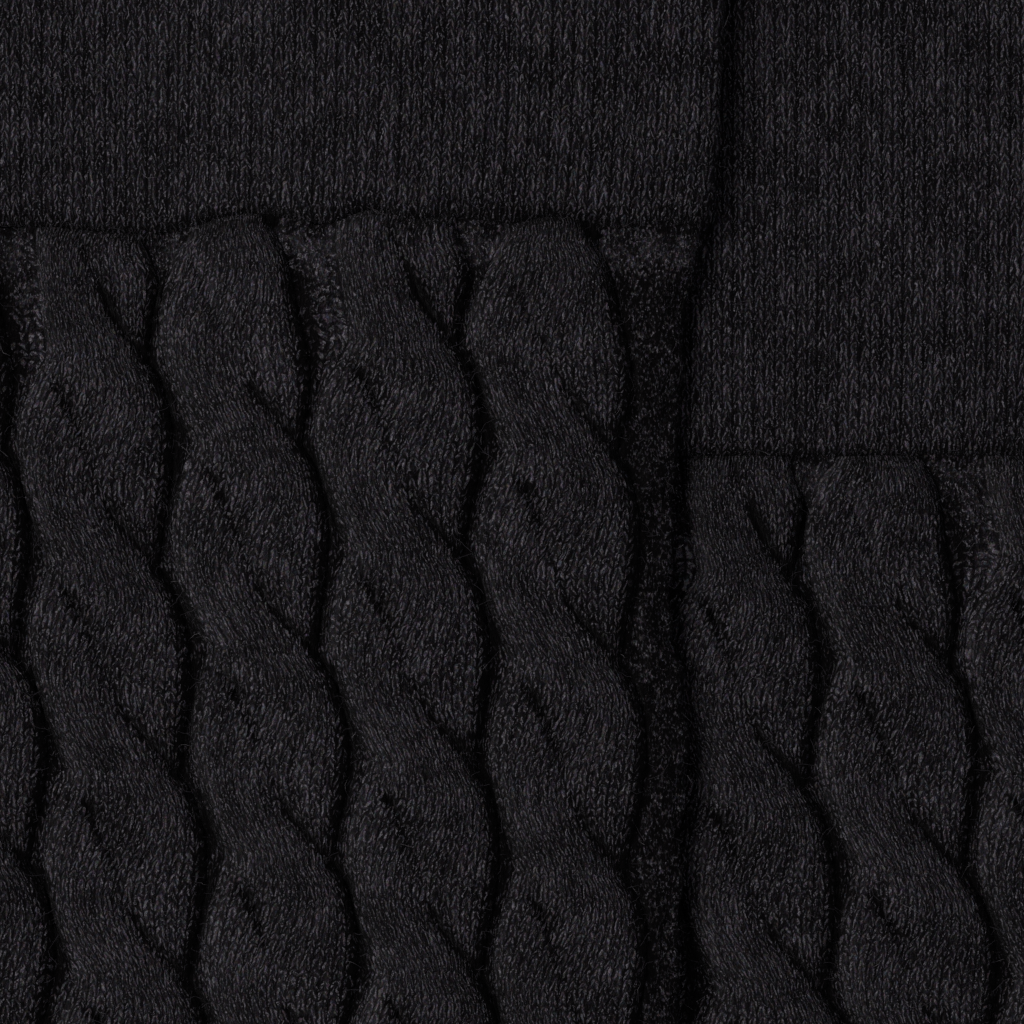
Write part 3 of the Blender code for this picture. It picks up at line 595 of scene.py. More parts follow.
def stitch_raiser():
    """Geometry nodes that raise each stitch's two legs, or lumps of purl, from the wall's points."""
    tree = bpy.data.node_groups.new("raised_stitches", "GeometryNodeTree")
    add_sockets(tree, "INPUT", "Geometry", "Geometry")
    add_sockets(tree, "INPUT", "Float", "Stitch height", "Unevenness", "Wale pairs", "Lumps", "Fibres")
    add_sockets(tree, "INPUT", "Material", "Knit", "Fluff")
    add_sockets(tree, "OUTPUT", "Geometry", "Geometry")
    given = tree.nodes.new("NodeGroupInput").outputs
    named = node(tree, "GeometryNodeInputNamedAttribute", {"Name": "stitches"}, data_type="FLOAT_VECTOR")
    wale, course, kind = parted(tree, named.outputs["Attribute"])
    side, down = stitch_parts(tree, wale, course)
    # Plain knit: a ridge down each arrow, lower at the middle and at the border of its wale
    ridge = number(tree, "COSINE", number(tree, "MULTIPLY", down, math.tau))
    ridge = number(tree, "MULTIPLY_ADD", ridge, 0.5, 0.5)
    inner = stretch(tree, side, 0.0, 0.4, 0.55)
    outer = stretch(tree, side, 0.6, 1.0, 1.0, 0.6)
    paired = number(tree, "MULTIPLY_ADD", every_other(tree, wale), given["Wale pairs"], 1.0)
    plain = product(tree, ridge, inner, outer, paired)
    where = tree.nodes.new("GeometryNodeInputPosition").outputs[0]
    # Purl is lumps, every leg of a stitch has its own height, and the cloth swells and sinks
    purl = stretch(tree, noise(tree, where, LUMP_NOISE, 1.0)[0], 0.35, 0.65)
    own = number(tree, "SUBTRACT", leg_chance(tree, wale, down, 0.1, 0.6), 0.5)
    own = number(tree, "MULTIPLY_ADD", own, given["Unevenness"], 1.0)
    rise = product(tree, blend(tree, kind, plain, purl), own, given["Stitch height"])
    swell = number(tree, "SUBTRACT", noise(tree, where, SWELL_NOISE, 1.0)[0], 0.5)
    swell = product(tree, swell, given["Stitch height"], 1.6)
    # The loose bands hang in long loops
    long = vector(tree, "MULTIPLY", where, (620.0, 230.0, 500.0))
    loops = number(tree, "SUBTRACT", noise(tree, long, 1.0, 2.0)[0], 0.5)
    loops = product(tree, loops, given["Lumps"], number(tree, "MAXIMUM", kind, 0.0))
    knitted = number(tree, "ADD", number(tree, "MINIMUM", kind, 0.0), 1.0)
    lift = number(tree, "MULTIPLY_ADD", number(tree, "ADD", rise, swell), knitted, loops)
    offset = vector(tree, "SCALE", tree.nodes.new("GeometryNodeInputNormal").outputs[0], lift)
    inputs = {"Geometry": given["Geometry"], "Offset": offset}
    moved = node(tree, "GeometryNodeSetPosition", inputs).outputs[0]
    worn = node(tree, "GeometryNodeSetMaterial", {"Geometry": moved, "Material": given["Knit"]})
    fluff = loose_fibres(tree, moved, kind, given["Fibres"])
    fluff = node(tree, "GeometryNodeSetMaterial", {"Geometry": fluff, "Material": given["Fluff"]})
    both = tree.nodes.new("GeometryNodeJoinGeometry")
    for part in (fluff, worn):
        tree.links.new(part.outputs[0], both.inputs[0])
    whole = node(tree, "GeometryNodeRealizeInstances", {0: both.outputs[0]})
    node(tree, "NodeGroupOutput", {0: whole.outputs[0]})
    return tree


RAISED_STITCHES = stitch_raiser()


def made_plain(item, tree, values):
    """A new mesh from an object and a geometry tree with the given inputs."""
    modifier = item.modifiers.new("made", "NODES")
    modifier.node_group = tree
    for socket in tree.interface.items_tree:
        if socket.in_out == "INPUT" and socket.name in values:
            modifier[socket.identifier] = values[socket.name]
    ready = item.evaluated_get(bpy.context.evaluated_depsgraph_get())
    mesh = bpy.data.meshes.new_from_object(ready)
    item.modifiers.clear()
    return mesh


def knit_piece(wall, part, material, values):
    """Raises the stitches of a wall and hangs it in the scene as the named part of its sock."""
    name = f"{wall.sock.name}_{part}"
    item = bpy.data.objects.new(f"knit_{name}", wall.mesh(name))
    bpy.context.scene.collection.objects.link(item)
    plain = made_plain(item, RAISED_STITCHES, {**values, "Knit": material, "Fluff": FLUFF})
    old = item.data
    item.data = plain
    bpy.data.meshes.remove(old)
    plain.name = item.name
    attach(item, "root")
    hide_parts(name)
    return item


def knit_pattern():
    """Shader group for knit seen close: the stitches' legs, the painted shade of the gaps between them,
    their yarn, and a painted glint on its fibres.
    """
    tree = bpy.data.node_groups.new("knit_pattern", "ShaderNodeTree")
    add_sockets(tree, "INPUT", "Vector", "Stitches")
    add_sockets(tree, "INPUT", "Float", "Disorder", "Slant", "Parting")
    add_sockets(tree, "OUTPUT", "Float", "Height", "Gap shade", "Chance", "Fibre glint", "Grain and wale shade", "Pair shade")
    given = tree.nodes.new("NodeGroupInput").outputs
    where = node(tree, "ShaderNodeTexCoord").outputs["Object"]
    # The yarn wanders off its place, and the rows sway by up to a stitch
    drift = vector(tree, "SUBTRACT", noise(tree, where, WANDER_NOISE, 1.0)["Color"], (0.5, 0.5, 0.5))
    drift = vector(tree, "MULTIPLY", drift, (0.62, 1.1, 0.0))
    drift = vector(tree, "SCALE", drift, given["Disorder"])
    sway = number(tree, "MULTIPLY_ADD", noise(tree, where, SWAY_NOISE, 0.0)[0], 2.0, -1.0)
    place = vector(tree, "ADD", given["Stitches"], drift)
    place = vector(tree, "ADD", place, joined(tree, 0.0, sway))
    wale, course, _ = parted(tree, place)
    side, down = stitch_parts(tree, wale, course, given["Slant"])
    # Plain knit: arrows, parted from the next wale's and by a fainter line down their own middle
    row = stretch(tree, side, 0.45, 0.0, 0.0, 0.2)
    row = number(tree, "ADD", number(tree, "PINGPONG", down, 0.5), row)
    border = stretch(tree, side, 0.62, 0.98, 1.0, 0.12)
    parting = stretch(tree, side, 0.0, 0.3, given["Parting"], 1.0)
    plain = product(tree, stretch(tree, row, 0.46, 0.12), border, parting)
    # Purl: lumps, drawn out along the wales
    long = vector(tree, "MULTIPLY", where, (4000.0, 2000.0, 4000.0))
    purl = stretch(tree, noise(tree, long, 1.0, 1.0)[0], 0.34, 0.74, 0.0, 0.7)
    kind = parted(tree, given["Stitches"])[2]
    shape = blend(tree, kind, plain, purl)
    # The yarn's own strands down each leg, with lint on them
    turn = number(tree, "SIGN", number(tree, "SUBTRACT", number(tree, "FRACT", wale), 0.5))
    twist = number(tree, "MULTIPLY_ADD", turn, 0.6, wale)
    yarn = vector(tree, "MULTIPLY", joined(tree, down, course, twist), (4.2, 1.6, 5.0))
    strands = noise(tree, yarn, 1.3, 1.0, 0.65)[0]
    lint = noise(tree, where, LINT_NOISE, 1.0, 0.75)[0]
    rough = number(tree, "ADD", strands, lint)
    height = number(tree, "MULTIPLY_ADD", number(tree, "SUBTRACT", rough, 1.0), 1.6, shape)
    # Painted highlight: a glint where the strands and the lint stand highest on the legs
    bright = number(tree, "MULTIPLY", rough, stretch(tree, shape, 0.0, 0.6, 0.8, 1.0))
    # Grain and wale shade: dust and streaks down the wales at random, and painted shade at the wales'
    # borders, which leaves them paler in their middle
    dust = noise(tree, where, DUST_NOISE, 0.0)[0]
    run = vector(tree, "MULTIPLY", joined(tree, wale, course, 1.0), (4.6, 1.1, 3.0))
    streak = noise(tree, run, 1.15, 1.0, 0.6)[0]
    column = blend(tree, kind, stretch(tree, side, 0.45, 0.95, 1.25, 0.55), 1.0)
    dust = stretch(tree, dust, 0.32, 0.68, 0.6, 1.45)
    streak = stretch(tree, streak, 0.3, 0.7, 0.5, 1.5)
    results = {
        "Height": height,
        # Masks for painted shade between the stitches, a painted glint on the fibres, and painted shade
        # at the wales' borders
        "Gap shade": stretch(tree, shape, 0.62, 0.1),
        "Chance": leg_chance(tree, wale, down, 0.0, 0.5),
        "Fibre glint": stretch(tree, bright, 0.98, 1.28),
        "Grain and wale shade": product(tree, dust, streak, column),
        "Pair shade": every_other(tree, wale),
    }
    node(tree, "NodeGroupOutput", results)
    return tree


KNIT_PATTERN = knit_pattern()
# Colours of the painted shade between the stitches, and in the grooves and creases of the cables
PAINTED_GAP_SHADE = (0.0018, 0.0014, 0.0016, 1.0)
PAINTED_GROOVE_SHADE = (0.0019, 0.0015, 0.0017, 1.0)


def charcoal_knit(name, disorder, slant, parting, gap_shade, pair_shade, yarn, painted_glint):
    """Matt charcoal wool mix, with painted shade near black between the stitches and a painted glint
    where fibres catch the light.
    """
    material = bpy.data.materials.new(name)
    material.use_nodes = True
    tree = material.node_tree
    shader = tree.nodes["Principled BSDF"]
    stitches = node(tree, "ShaderNodeAttribute", attribute_name="stitches").outputs["Vector"]
    hollow = node(tree, "ShaderNodeAttribute", attribute_name="hollow").outputs["Fac"]
    inputs = {"Stitches": stitches, "Disorder": disorder, "Slant": slant, "Parting": parting}
    knit = node(tree, "ShaderNodeGroup", inputs, node_tree=KNIT_PATTERN).outputs
    where = node(tree, "ShaderNodeTexCoord").outputs["Object"]
    # Yarn brightness: random by leg and in clouds, painted shade on every other wale of a pair, and the
    # grain
    level = product(
        tree,
        number(tree, "MULTIPLY_ADD", knit["Chance"], 0.9, 0.3),
        stretch(tree, noise(tree, where, CLOUD_NOISE, 1.0)[0], 0.3, 0.7, 0.62, 1.4),
        number(tree, "MULTIPLY_ADD", knit["Pair shade"], pair_shade, 1.0),
        knit["Grain and wale shade"],
    )
    speckle = noise(tree, where, SPECKLE_NOISE, 0.0)["Color"]
    tint = vector(tree, "MULTIPLY_ADD", speckle, (0.9, 0.7, 1.0), (0.55, 0.65, 0.5))
    body = vector(tree, "SCALE", vector(tree, "MULTIPLY", tint, yarn), level)
    # Painted glint where the fibres catch the light
    shine = blend_colours(tree, knit["Fibre glint"], body, painted_glint)
    # Painted shade between the stitches
    gap_shaded = number(tree, "MULTIPLY", knit["Gap shade"], gap_shade)
    knitted = blend_colours(tree, gap_shaded, shine, PAINTED_GAP_SHADE)
    # The painted shade of grooves and creases has a ragged border and takes the gaps between stitches
    # first
    ragged = number(tree, "SUBTRACT", noise(tree, where, RAGGED_NOISE, 2.0, 0.75)[0], 0.5)
    ragged = number(tree, "MULTIPLY_ADD", ragged, 2.0, hollow)
    ragged = number(tree, "MULTIPLY_ADD", number(tree, "SUBTRACT", knit["Gap shade"], 0.4), 0.45, ragged)
    deep = product(tree, stretch(tree, ragged, 0.2, 0.95), stretch(tree, hollow, 0.0, 0.12))
    tree.links.new(blend_colours(tree, deep, knitted, PAINTED_GROOVE_SHADE), shader.inputs["Base Color"])
    tree.links.new(stretch(tree, knit["Fibre glint"], 0.0, 1.0, 0.95, 0.7), shader.inputs["Roughness"])
    bump = node(tree, "ShaderNodeBump", {"Height": knit["Height"], "Distance": 0.0003, "Strength": 0.9})
    tree.links.new(bump.outputs[0], shader.inputs["Normal"])
    shader.inputs["Specular IOR Level"].default_value = 0.02
    shader.inputs["Sheen Weight"].default_value = 0.01
    shader.inputs["Sheen Roughness"].default_value = 0.4
    return material


def fluff():
    """Loose fibres: charcoal, a few of them pale."""
    material = bpy.data.materials.new("loose_fibres")
    material.use_nodes = True
    tree = material.node_tree
    shader = tree.nodes["Principled BSDF"]
    where = node(tree, "ShaderNodeTexCoord").outputs["Object"]
    pale = stretch(tree, noise(tree, where, PALE_NOISE, 1.0)[0], 0.6, 0.72)
    colour = blend_colours(tree, pale, (0.028, 0.025, 0.03, 1.0), (0.12, 0.11, 0.117, 1.0))
    tree.links.new(colour, shader.inputs["Base Color"])
    shader.inputs["Roughness"].default_value = 0.7
    shader.inputs["Specular IOR Level"].default_value = 0.1
    return material


FLUFF = fluff()
PLAIN_KNIT = charcoal_knit(
    "plain_charcoal_knit",
    disorder=0.8,
    slant=SLANT,
    parting=0.8,
    gap_shade=0.74,
    pair_shade=0.3,
    yarn=(0.0222, 0.0196, 0.0236),
    painted_glint=(0.115, 0.106, 0.121, 1.0),
)


for sock in SOCKS:
    wall = Wall(sock, CUFF_SECTIONS, CUFF_WALL, CUFF_ROLL_DROP)
    ends = (CUFF_TOP, -SEAM_HALF)
    rows = rows_down(*ends, CUFF_COURSE, 2)
    upper = plain_face(CUFF_SECTIONS, *ends, 4, 2)
    # Painted shade along the seam, under the cuff's rolled edge
    upper.hollow = SEAM_DARK * bell((upper.along - ends[1]) / CUFF_SEAM_SHADE)
    knit_round(wall, upper, rows, 0.0, section_width(CUFF_SECTIONS, rows), None, PLAIN_GAUGE)
    stitches = {"Stitch height": 0.2 * MM, "Unevenness": 1.2, "Wale pairs": 0.25, "Fibres": 2.0e5}
    item = knit_piece(wall, "cuff", PLAIN_KNIT, stitches)
    below = sock.rests_on("top_sock_leg")


# Legs: knitted on from the cuff, a tube down to the ankle. On the face that shows, five rope cables
# stand on a ground of purl stitches. Each is two strands that cross every 22 mm, the left one over
# the right. Along both folded edges the purl hangs in long loose loops.
LEG_WALL = 1.5
LEG_END = 108.0
CABLE_COURSE = 1.2
CABLE_GAUGE = (0.9, CABLE_COURSE)
CABLE_WALES = 16
CABLE_HEIGHT = 2.3
COLUMN_PITCH = 16.0
CABLE_REPEAT = 21.95
COLUMNS = (-2, -1, 0, 1, 2)
INSTEP_COLUMNS = (-2, -1)
COLUMN_LEAN = {-2: 0.05, -1: 0.08, 0: 0.084, 1: 0.067, 2: 0.013}
LEAN_WAVE = 200.0
LEAN_CENTRE = 42.0
FIRST_CROSSING = {-2: 23.0, -1: 13.6, 0: 22.7, 1: 12.4, 2: 23.6}
CABLE_END = 258.0
CABLE_FADE = 6.0
# One strand down its two repeats: its edges in shares of the pitch from the cable's middle, its height
STRAND_SECTIONS = (
    # repeats, left, right, height
    (0.00, -0.33, -0.06, 0.00),
    (0.12, -0.39, 0.00, 0.62),
    (0.30, -0.48, 0.05, 0.87),
    (0.45, -0.505, 0.05, 0.96),
    (0.62, -0.49, 0.04, 1.00),
    (0.75, -0.455, 0.085, 1.02),
    (0.88, -0.40, 0.21, 1.03),
    (1.00, -0.34, 0.355, 1.03),
    (1.12, -0.31, 0.46, 1.01),
    (1.28, -0.28, 0.52, 0.98),
    (1.47, -0.24, 0.535, 0.95),
    (1.66, -0.20, 0.50, 0.88),
    (1.85, -0.10, 0.44, 0.74),
    (2.00, 0.06, 0.40, 0.52),
    (2.12, 0.18, 0.37, 0.25),
)
STRAND_LENGTH = 2.12
STRAND_SQUARE = 2.6
# The line that parts two strands: its place in shares of the pitch, how dark its painted shade is, and
# how deep it is
PARTINGS = (
    # repeats, across, dark, deep
    (0.11, -0.265, 0.0, 0.0),
    (0.16, -0.225, 1.0, 0.9),
    (0.24, -0.17, 1.05, 1.0),
    (0.32, -0.12, 0.8, 0.9),
    (0.42, -0.07, 0.5, 0.7),
    (0.52, -0.02, 0.38, 0.5),
    (0.62, 0.02, 0.4, 0.5),
    (0.70, 0.06, 0.8, 0.6),
    (0.78, 0.105, 1.15, 0.9),
    (0.88, 0.21, 1.25, 1.0),
    (1.00, 0.355, 1.25, 1.0),
    (1.10, 0.44, 1.0, 0.8),
    (1.17, 0.49, 0.0, 0.0),
)
PARTING_WIDTH = 0.034
PARTING_CUT = 0.4
# Painted shade along a parting: its strength, and how far it spreads to the left and the right
PARTING_DARK = 0.85
DARK_LEFT = 0.045
DARK_RIGHT = 0.085
# How softly two strands join, at least and where one comes out from under the other
JOIN_HARD = 0.03
JOIN_SOFT = 0.13
# How far the columns of points follow the strands across
POINTS_SWAY = 0.085
# A cable's two sides are drawn in under the seam: share of the pitch, where it eases, over how far
DRAWN_IN_ODD = ((0.17, 4.0, 16.0), (0.13, 0.0, 7.0))
DRAWN_IN_EVEN = ((0.06, 0.0, 3.0), (0.13, 7.0, 13.0))
# Near the seam a hook's painted shade doesn't show, and the other partings' painted shade is up to twice
# as dark
HOOK = 0.45
HOOKS_START = 11.0
HOOKS_RUN = 3.0
DARKEST_END = 6.0
DARKEST_RUN = 5.0
# Painted shadow in strips beside the cables and down their flanks: their widths, and how far below the
# seam they are whole
SHADOW_WIDTH = 2.7
SHADOW_CHANGE = 1.3
SHADOW_WIDEST = 0.35
FLANK_LEFT = 1.5
FLANK_RIGHT = 2.2
GROOVE_WIDTH = 1.5
GROOVE_START = 7.0
# How dark the painted shade leaves the ground away from them, in the loose bands, and at the front
# folded edge
GROUND_DARK = 0.12
BAND_DARK = 0.6
EDGE_DARK = 0.2
# The ground between cables is tight purl, and hangs loose only down to here
TIGHT_PURL = 0.35
LOOSE_END = 11.0
LOOSE_RUN = 4.0
# The cables rise under the cuff's edge, and painted shade darkens them there
LEG_SEAM_RISE = 1.8
LEG_SEAM_LEAST = 0.3
LEG_SEAM_SHADE = 1.2


def column_centre(column, along):
    """Distance of a cable column's middle from the front edge."""
    leg = np.minimum(along, LEG_END)
    wave = math.tau / LEAN_WAVE
    sway = COLUMN_LEAN[column] / wave * np.sin(wave * (leg - LEAN_CENTRE))
    return section_width(BODY_SECTIONS, leg) / 2 + COLUMN_PITCH * column + sway


def column_halves(column, along):
    """Half the distance from a column's middle to its neighbours' on the left and the right."""
    centre = column_centre(column, along)
    left = right = np.full(np.shape(centre), COLUMN_PITCH / 2)
    if column > COLUMNS[0]:
        left = (centre - column_centre(column - 1, along)) / 2
    if column < COLUMNS[-1]:
        right = (column_centre(column + 1, along) - centre) / 2
    return left, right


def repeats_down(sock, column, along):
    return (along - FIRST_CROSSING[column] + sock.cables_up) / CABLE_REPEAT


def column_edges(down):
    """Left and right edge of a cable, in shares of the pitch."""
    share = down % 1.0
    young = through(STRAND_SECTIONS, share)
    old = through(STRAND_SECTIONS, share + 1.0)
    oldest = through(STRAND_SECTIONS, np.minimum(share + 2.0, STRAND_LENGTH))
    fading = smooth(share / (STRAND_LENGTH - 2.0))
    right = np.maximum(old[..., 1], oldest[..., 1] * (1 - fading) + old[..., 1] * fading)
    return np.minimum(young[..., 0], old[..., 0]), right


def cable_sides(sock, column, along):
    """Where the edges of a cable lie, inward from the front edge. They draw together at the seam."""
    table = DRAWN_IN_ODD if column % 2 else DRAWN_IN_EVEN
    drawn = [share * (1 - smooth((along - start) / run)) for share, start, run in table]
    half_left, half_right = column_halves(column, along)
    left, right = column_edges(repeats_down(sock, column, along))
    centre = column_centre(column, along)
    return centre + 2 * half_left * (left + drawn[0]), centre + 2 * half_right * (right - drawn[1])


def strand_dome(across, place):
    """Height of one strand at a place across the column, on a rounded section."""
    left, right, top = np.moveaxis(through(STRAND_SECTIONS, place), -1, 0)
    off = (2 * across - left - right) / (right - left)
    dome = np.sqrt(np.clip(1 - np.abs(off) ** STRAND_SQUARE, 0.0, 1.0))
    return np.where(place <= STRAND_LENGTH, top * dome, 0.0)


def cable_creases(across, down):
    """How deep a place is in the line that parts two strands, from where one comes out to where it
    dives, and how dark the painted shade along the line leaves it. At the start of a repeat two of these
    lines pass."""
    deep, dark = 0.0, 0.0
    for place in (down % 1.0, down % 1.0 + 1.0):
        line, shade, depth = np.moveaxis(through(PARTINGS, place), -1, 0)
        there = (place > PARTINGS[0][0]) & (place < PARTINGS[-1][0])
        off = across - line
        deep = np.maximum(deep, bell(off / PARTING_WIDTH) * depth * there)
        spread = np.where(off > 0, DARK_RIGHT, DARK_LEFT)
        dark = np.maximum(dark, PARTING_DARK * bell(off / spread) * shade * there)
    return deep, dark


def cable_relief(across, down, crease):
    """Height of the rope cable, in shares: the highest of its strands, softly joined where one
    comes out from under the other and parted by a crease where one dives."""
    share = down % 1.0
    young, old, oldest = (strand_dome(across, share + turns) for turns in (0, 1, 2))
    soft = JOIN_HARD + JOIN_SOFT * smooth((0.72 - share) / 0.25) * smooth(share / 0.1)
    higher = np.maximum(young, old)
    meeting = higher + np.maximum(soft - np.abs(young - old), 0.0) ** 2 / (4 * soft)
    edge = np.minimum(higher * 4.0, 1.0)
    height = np.maximum(higher * (1 - edge) + meeting * edge, oldest)
    return height * (1 - PARTING_CUT * crease)


def cable_fade(column, along):
    last = CABLE_END if column in INSTEP_COLUMNS else LEG_END
    return smooth((last - along) / CABLE_FADE)


def near_seam(crease, down, along):
    """A parting's painted shade as it is near the seam."""
    hook = smooth((along - HOOKS_START) / HOOKS_RUN)
    rest = 2 - smooth((along - DARKEST_END) / DARKEST_RUN)
    return crease * np.where(down % 1.0 < HOOK, hook, rest)


def shadow_width(sock, column, along):
    """Width of the painted shadow at the right of a cable, widest where the strand stands out."""
    down = repeats_down(sock, max(column, COLUMNS[0]), along)
    return SHADOW_WIDTH + SHADOW_CHANGE * np.cos(math.tau * (down - SHADOW_WIDEST))


def groove_start(along):
    """The painted shade in the grooves begins a little below the seam."""
    return smooth((along - 1.0) / GROOVE_START)


class Columns:
    """Gathers the columns of points of a cable face, from the front edge on."""

    def __init__(self, sock, rows, per_wale):
        self.sock, self.rows, self.per_wale = sock, rows, per_wale
        self.straight = bent_rows(rows, np.zeros(1), CABLE_COURSE)[:, 0]
        self.wale, self.parts = 0.0, []

    def add(self, along, inward, wale, purl, relief, hollow):
        values = (along, inward, wale, purl, relief, hollow)
        self.parts.append([np.broadcast_to(v, self.rows.shape) for v in values])

    def ground(self, low, high, count, wales, purl, dark):
        """Ground between two places, and not the points at them, with as much painted shade as told for
        each share.
        """
        for n in range(1, count):
            share = n / count
            hollow = dark(share) * groove_start(self.rows)
            inward = low + (high - low) * share
            self.add(self.straight, inward, self.wale + wales * share, purl, 0.0, hollow)
        self.wale += wales

    def between(self, low, high, column):
        """Ground between a cable and the next, its painted shadow darkest beside the first one."""
        width = shadow_width(self.sock, column, self.rows)
        tight = TIGHT_PURL + (1 - TIGHT_PURL) * smooth((LOOSE_END - self.rows) / LOOSE_RUN)

        def dark(share):
            return 1 - (1 - GROUND_DARK) * smooth(share * (high - low) / width)

        self.ground(low, high, 6, 2.0, tight, dark)

    def band(self, low, high, count, wales, purl, rest, cable_first):
        """Ground between a folded edge and a cable, with painted shade in the groove beside the cable.
        """

        def dark(share):
            near = share if cable_first else 1 - share
            return rest + (1 - rest) * (1 - smooth(near * (high - low) / GROOVE_WIDTH))

        self.ground(low, high, count, wales, purl, dark)

    def cable(self, column):
        """The points of one cable, from its left edge to its right one."""
        for n in range(CABLE_WALES * self.per_wale + 1):
            share, wale = n / (CABLE_WALES * self.per_wale), n / self.per_wale
            arrow = abs(2 * (wale % 1.0) - 1) if 0 < share < 1 else 0.0
            along = bent_rows(self.rows, np.array([arrow]), CABLE_COURSE)[:, 0]
            down = repeats_down(self.sock, column, along)
            left, right = column_edges(down)
            sway = POINTS_SWAY * math.sin(math.pi * share) * np.sin(math.tau * (down - 0.9))
            at = share + sway
            across = left + (right - left) * at
            deep, crease = cable_creases(across, down)
            height = cable_relief(across, down, deep) * cable_fade(column, along)
            low, high = cable_sides(self.sock, column, along)
            from_left, from_right = (high - low) * at, (high - low) * (1 - at)
            # Painted shade: the cable's shadow on its left flank where the neighbour is near, down both
            # flanks into the grooves, and along the partings
            gap = low
            if column > COLUMNS[0]:
                gap = low - cable_sides(self.sock, column - 1, along)[1]
            shadow = smooth(gap / shadow_width(self.sock, column - 1, along))
            flank = (1 - (1 - GROUND_DARK) * shadow) * (1 - smooth(from_left / FLANK_LEFT))
            flank = np.maximum(flank, 1 - smooth(from_right / FLANK_RIGHT))
            shade = np.maximum(near_seam(crease, down, along), flank * groove_start(along))
            self.add(along, low + (high - low) * at, self.wale + wale, PLAIN, height, shade)
        self.wale += CABLE_WALES

    def face(self):
        along, inward, wale, purl, relief, hollow = (np.stack(p, axis=1) for p in zip(*self.parts))
        start = self.rows[0]
        if start == SEAM_HALF:
            risen = np.sqrt(1 - (1 - np.clip((along - start) / LEG_SEAM_RISE, 0.0, 1.0)) ** 2)
            relief = relief * (LEG_SEAM_LEAST + (1 - LEG_SEAM_LEAST) * risen)
            # Painted shade along the seam
            hollow = np.maximum(hollow, SEAM_DARK * bell((along - start) / LEG_SEAM_SHADE))
        course = (along - start) / CABLE_COURSE
        return Face(along, inward, wale, course, CABLE_HEIGHT * relief, hollow, purl)


def cable_face(sock, rows, columns, per_wale, high, front_count, rest):
    """An upper face with cables, its columns of points on their wales, edges and grooves. The rest,
    past the last cable, has a number of points and wales, of purl or plain knit."""
    count, wales, purl = rest
    # Painted shade in the band past the last cable
    rest_dark = BAND_DARK * purl
    made = Columns(sock, rows, per_wale)
    # The front folded edge, with a little painted shade
    made.add(rows, 0.0, 0.0, PURL, 0.0, EDGE_DARK)
    last = 0.0
    for column in columns:
        low, right = cable_sides(sock, column, rows)
        if column == columns[0]:
            made.band(last, low, front_count, 7.0, PURL, BAND_DARK, False)
        else:
            made.between(last, low, column - 1)
        made.cable(column)
        last = right
    made.band(last, high, count, wales, purl, rest_dark, True)
    made.add(rows, high, made.wale, purl, 0.0, rest_dark)
    return made.face()


CABLE_KNIT = charcoal_knit(
    "cable_charcoal_knit",
    disorder=0.85,
    slant=1.0,
    parting=0.35,
    gap_shade=0.66,
    pair_shade=0.0,
    yarn=(0.0262, 0.023, 0.0274),
    painted_glint=(0.125, 0.116, 0.131, 1.0),
)


for sock in SOCKS:
    wall = Wall(sock, BODY_SECTIONS, LEG_WALL)
    rows = rows_down(SEAM_HALF, LEG_END - SEAM_HALF, CABLE_COURSE, 2)
    width = section_width(BODY_SECTIONS, rows)
    upper = cable_face(sock, rows, COLUMNS, 4, width, 10, (14, 6.0, PURL))
    knit_round(wall, upper, rows, 0.0, width, None, CABLE_GAUGE)
    stitches = {"Stitch height": 0.14 * MM, "Unevenness": 1.3, "Lumps": 3.2 * MM, "Fibres": 1.85e5}
    item = knit_piece(wall, "leg", CABLE_KNIT, stitches)
    below = sock.rests_on("under_sock_leg")


# Heels: a pocket of plain knit that turns the tube to the foot, reaching 49 mm round the back edge on
# either face, knitted in short rows and joined to the leg, the instep and the sole without a break.
HEEL_WALL = 1.8
HEEL_END = 175.5
POCKET_EDGE = 40.0

for sock in SOCKS:
    wall = Wall(sock, BODY_SECTIONS, HEEL_WALL)
    ends = (LEG_END + SEAM_HALF, HEEL_END - SEAM_HALF)
    rows = rows_down(*ends, CUFF_COURSE, 1)
    low = POCKET_EDGE + SEAM_HALF
    upper = plain_face(BODY_SECTIONS, *ends, 2, 1, low)
    width = section_width(BODY_SECTIONS, rows)
    knit_round(wall, upper, rows, low, width, "front", PLAIN_GAUGE)
    item = knit_piece(wall, "heel", PLAIN_KNIT, {"Stitch height": 0.25 * MM, "Unevenness": 0.5})
    below = sock.rests_on("under_sock_foot")


# Feet: two of the cables run on down the instep, between the purl of the front edge and the plain
# knit of the side. Past the heel the foot is a whole tube again, with a plain sole.
for sock in SOCKS:
    wall = Wall(sock, BODY_SECTIONS, LEG_WALL)
    rows = rows_down(LEG_END + SEAM_HALF, HEEL_END - SEAM_HALF, CABLE_COURSE, 1)
    high = np.full_like(rows, POCKET_EDGE - SEAM_HALF)
    upper = cable_face(sock, rows, INSTEP_COLUMNS, 2, high, 6, (6, 4.0, PLAIN))
    knit_round(wall, upper, rows, 0.0, high, "back", CABLE_GAUGE)
    rows = rows_down(HEEL_END - SEAM_HALF, TOE_START - SEAM_HALF, CABLE_COURSE, 1)
    width = section_width(BODY_SECTIONS, rows)
    upper = cable_face(sock, rows, INSTEP_COLUMNS, 2, width, 6, (90, 45.0, PLAIN))
    knit_round(wall, upper, rows, 0.0, width, None, CABLE_GAUGE)
    item = knit_piece(wall, "foot", CABLE_KNIT, {"Stitch height": 0.25 * MM, "Unevenness": 0.5})
    below = sock.rests_on("under_sock_foot")


# Toes: a plain cap knitted on to the foot and narrowed to its end, then linked shut by a low raised
# seam across it.
TOE_SEAM = 281.0
SEAM_RIDGE = 0.7
SEAM_RIDGE_WIDTH = 1.0
# Painted shade at both feet of the seam's ridge: how dark, and how wide
SEAM_SIDE_SHADE = 0.8
SEAM_SIDE_SHADE_WIDTH = 0.2

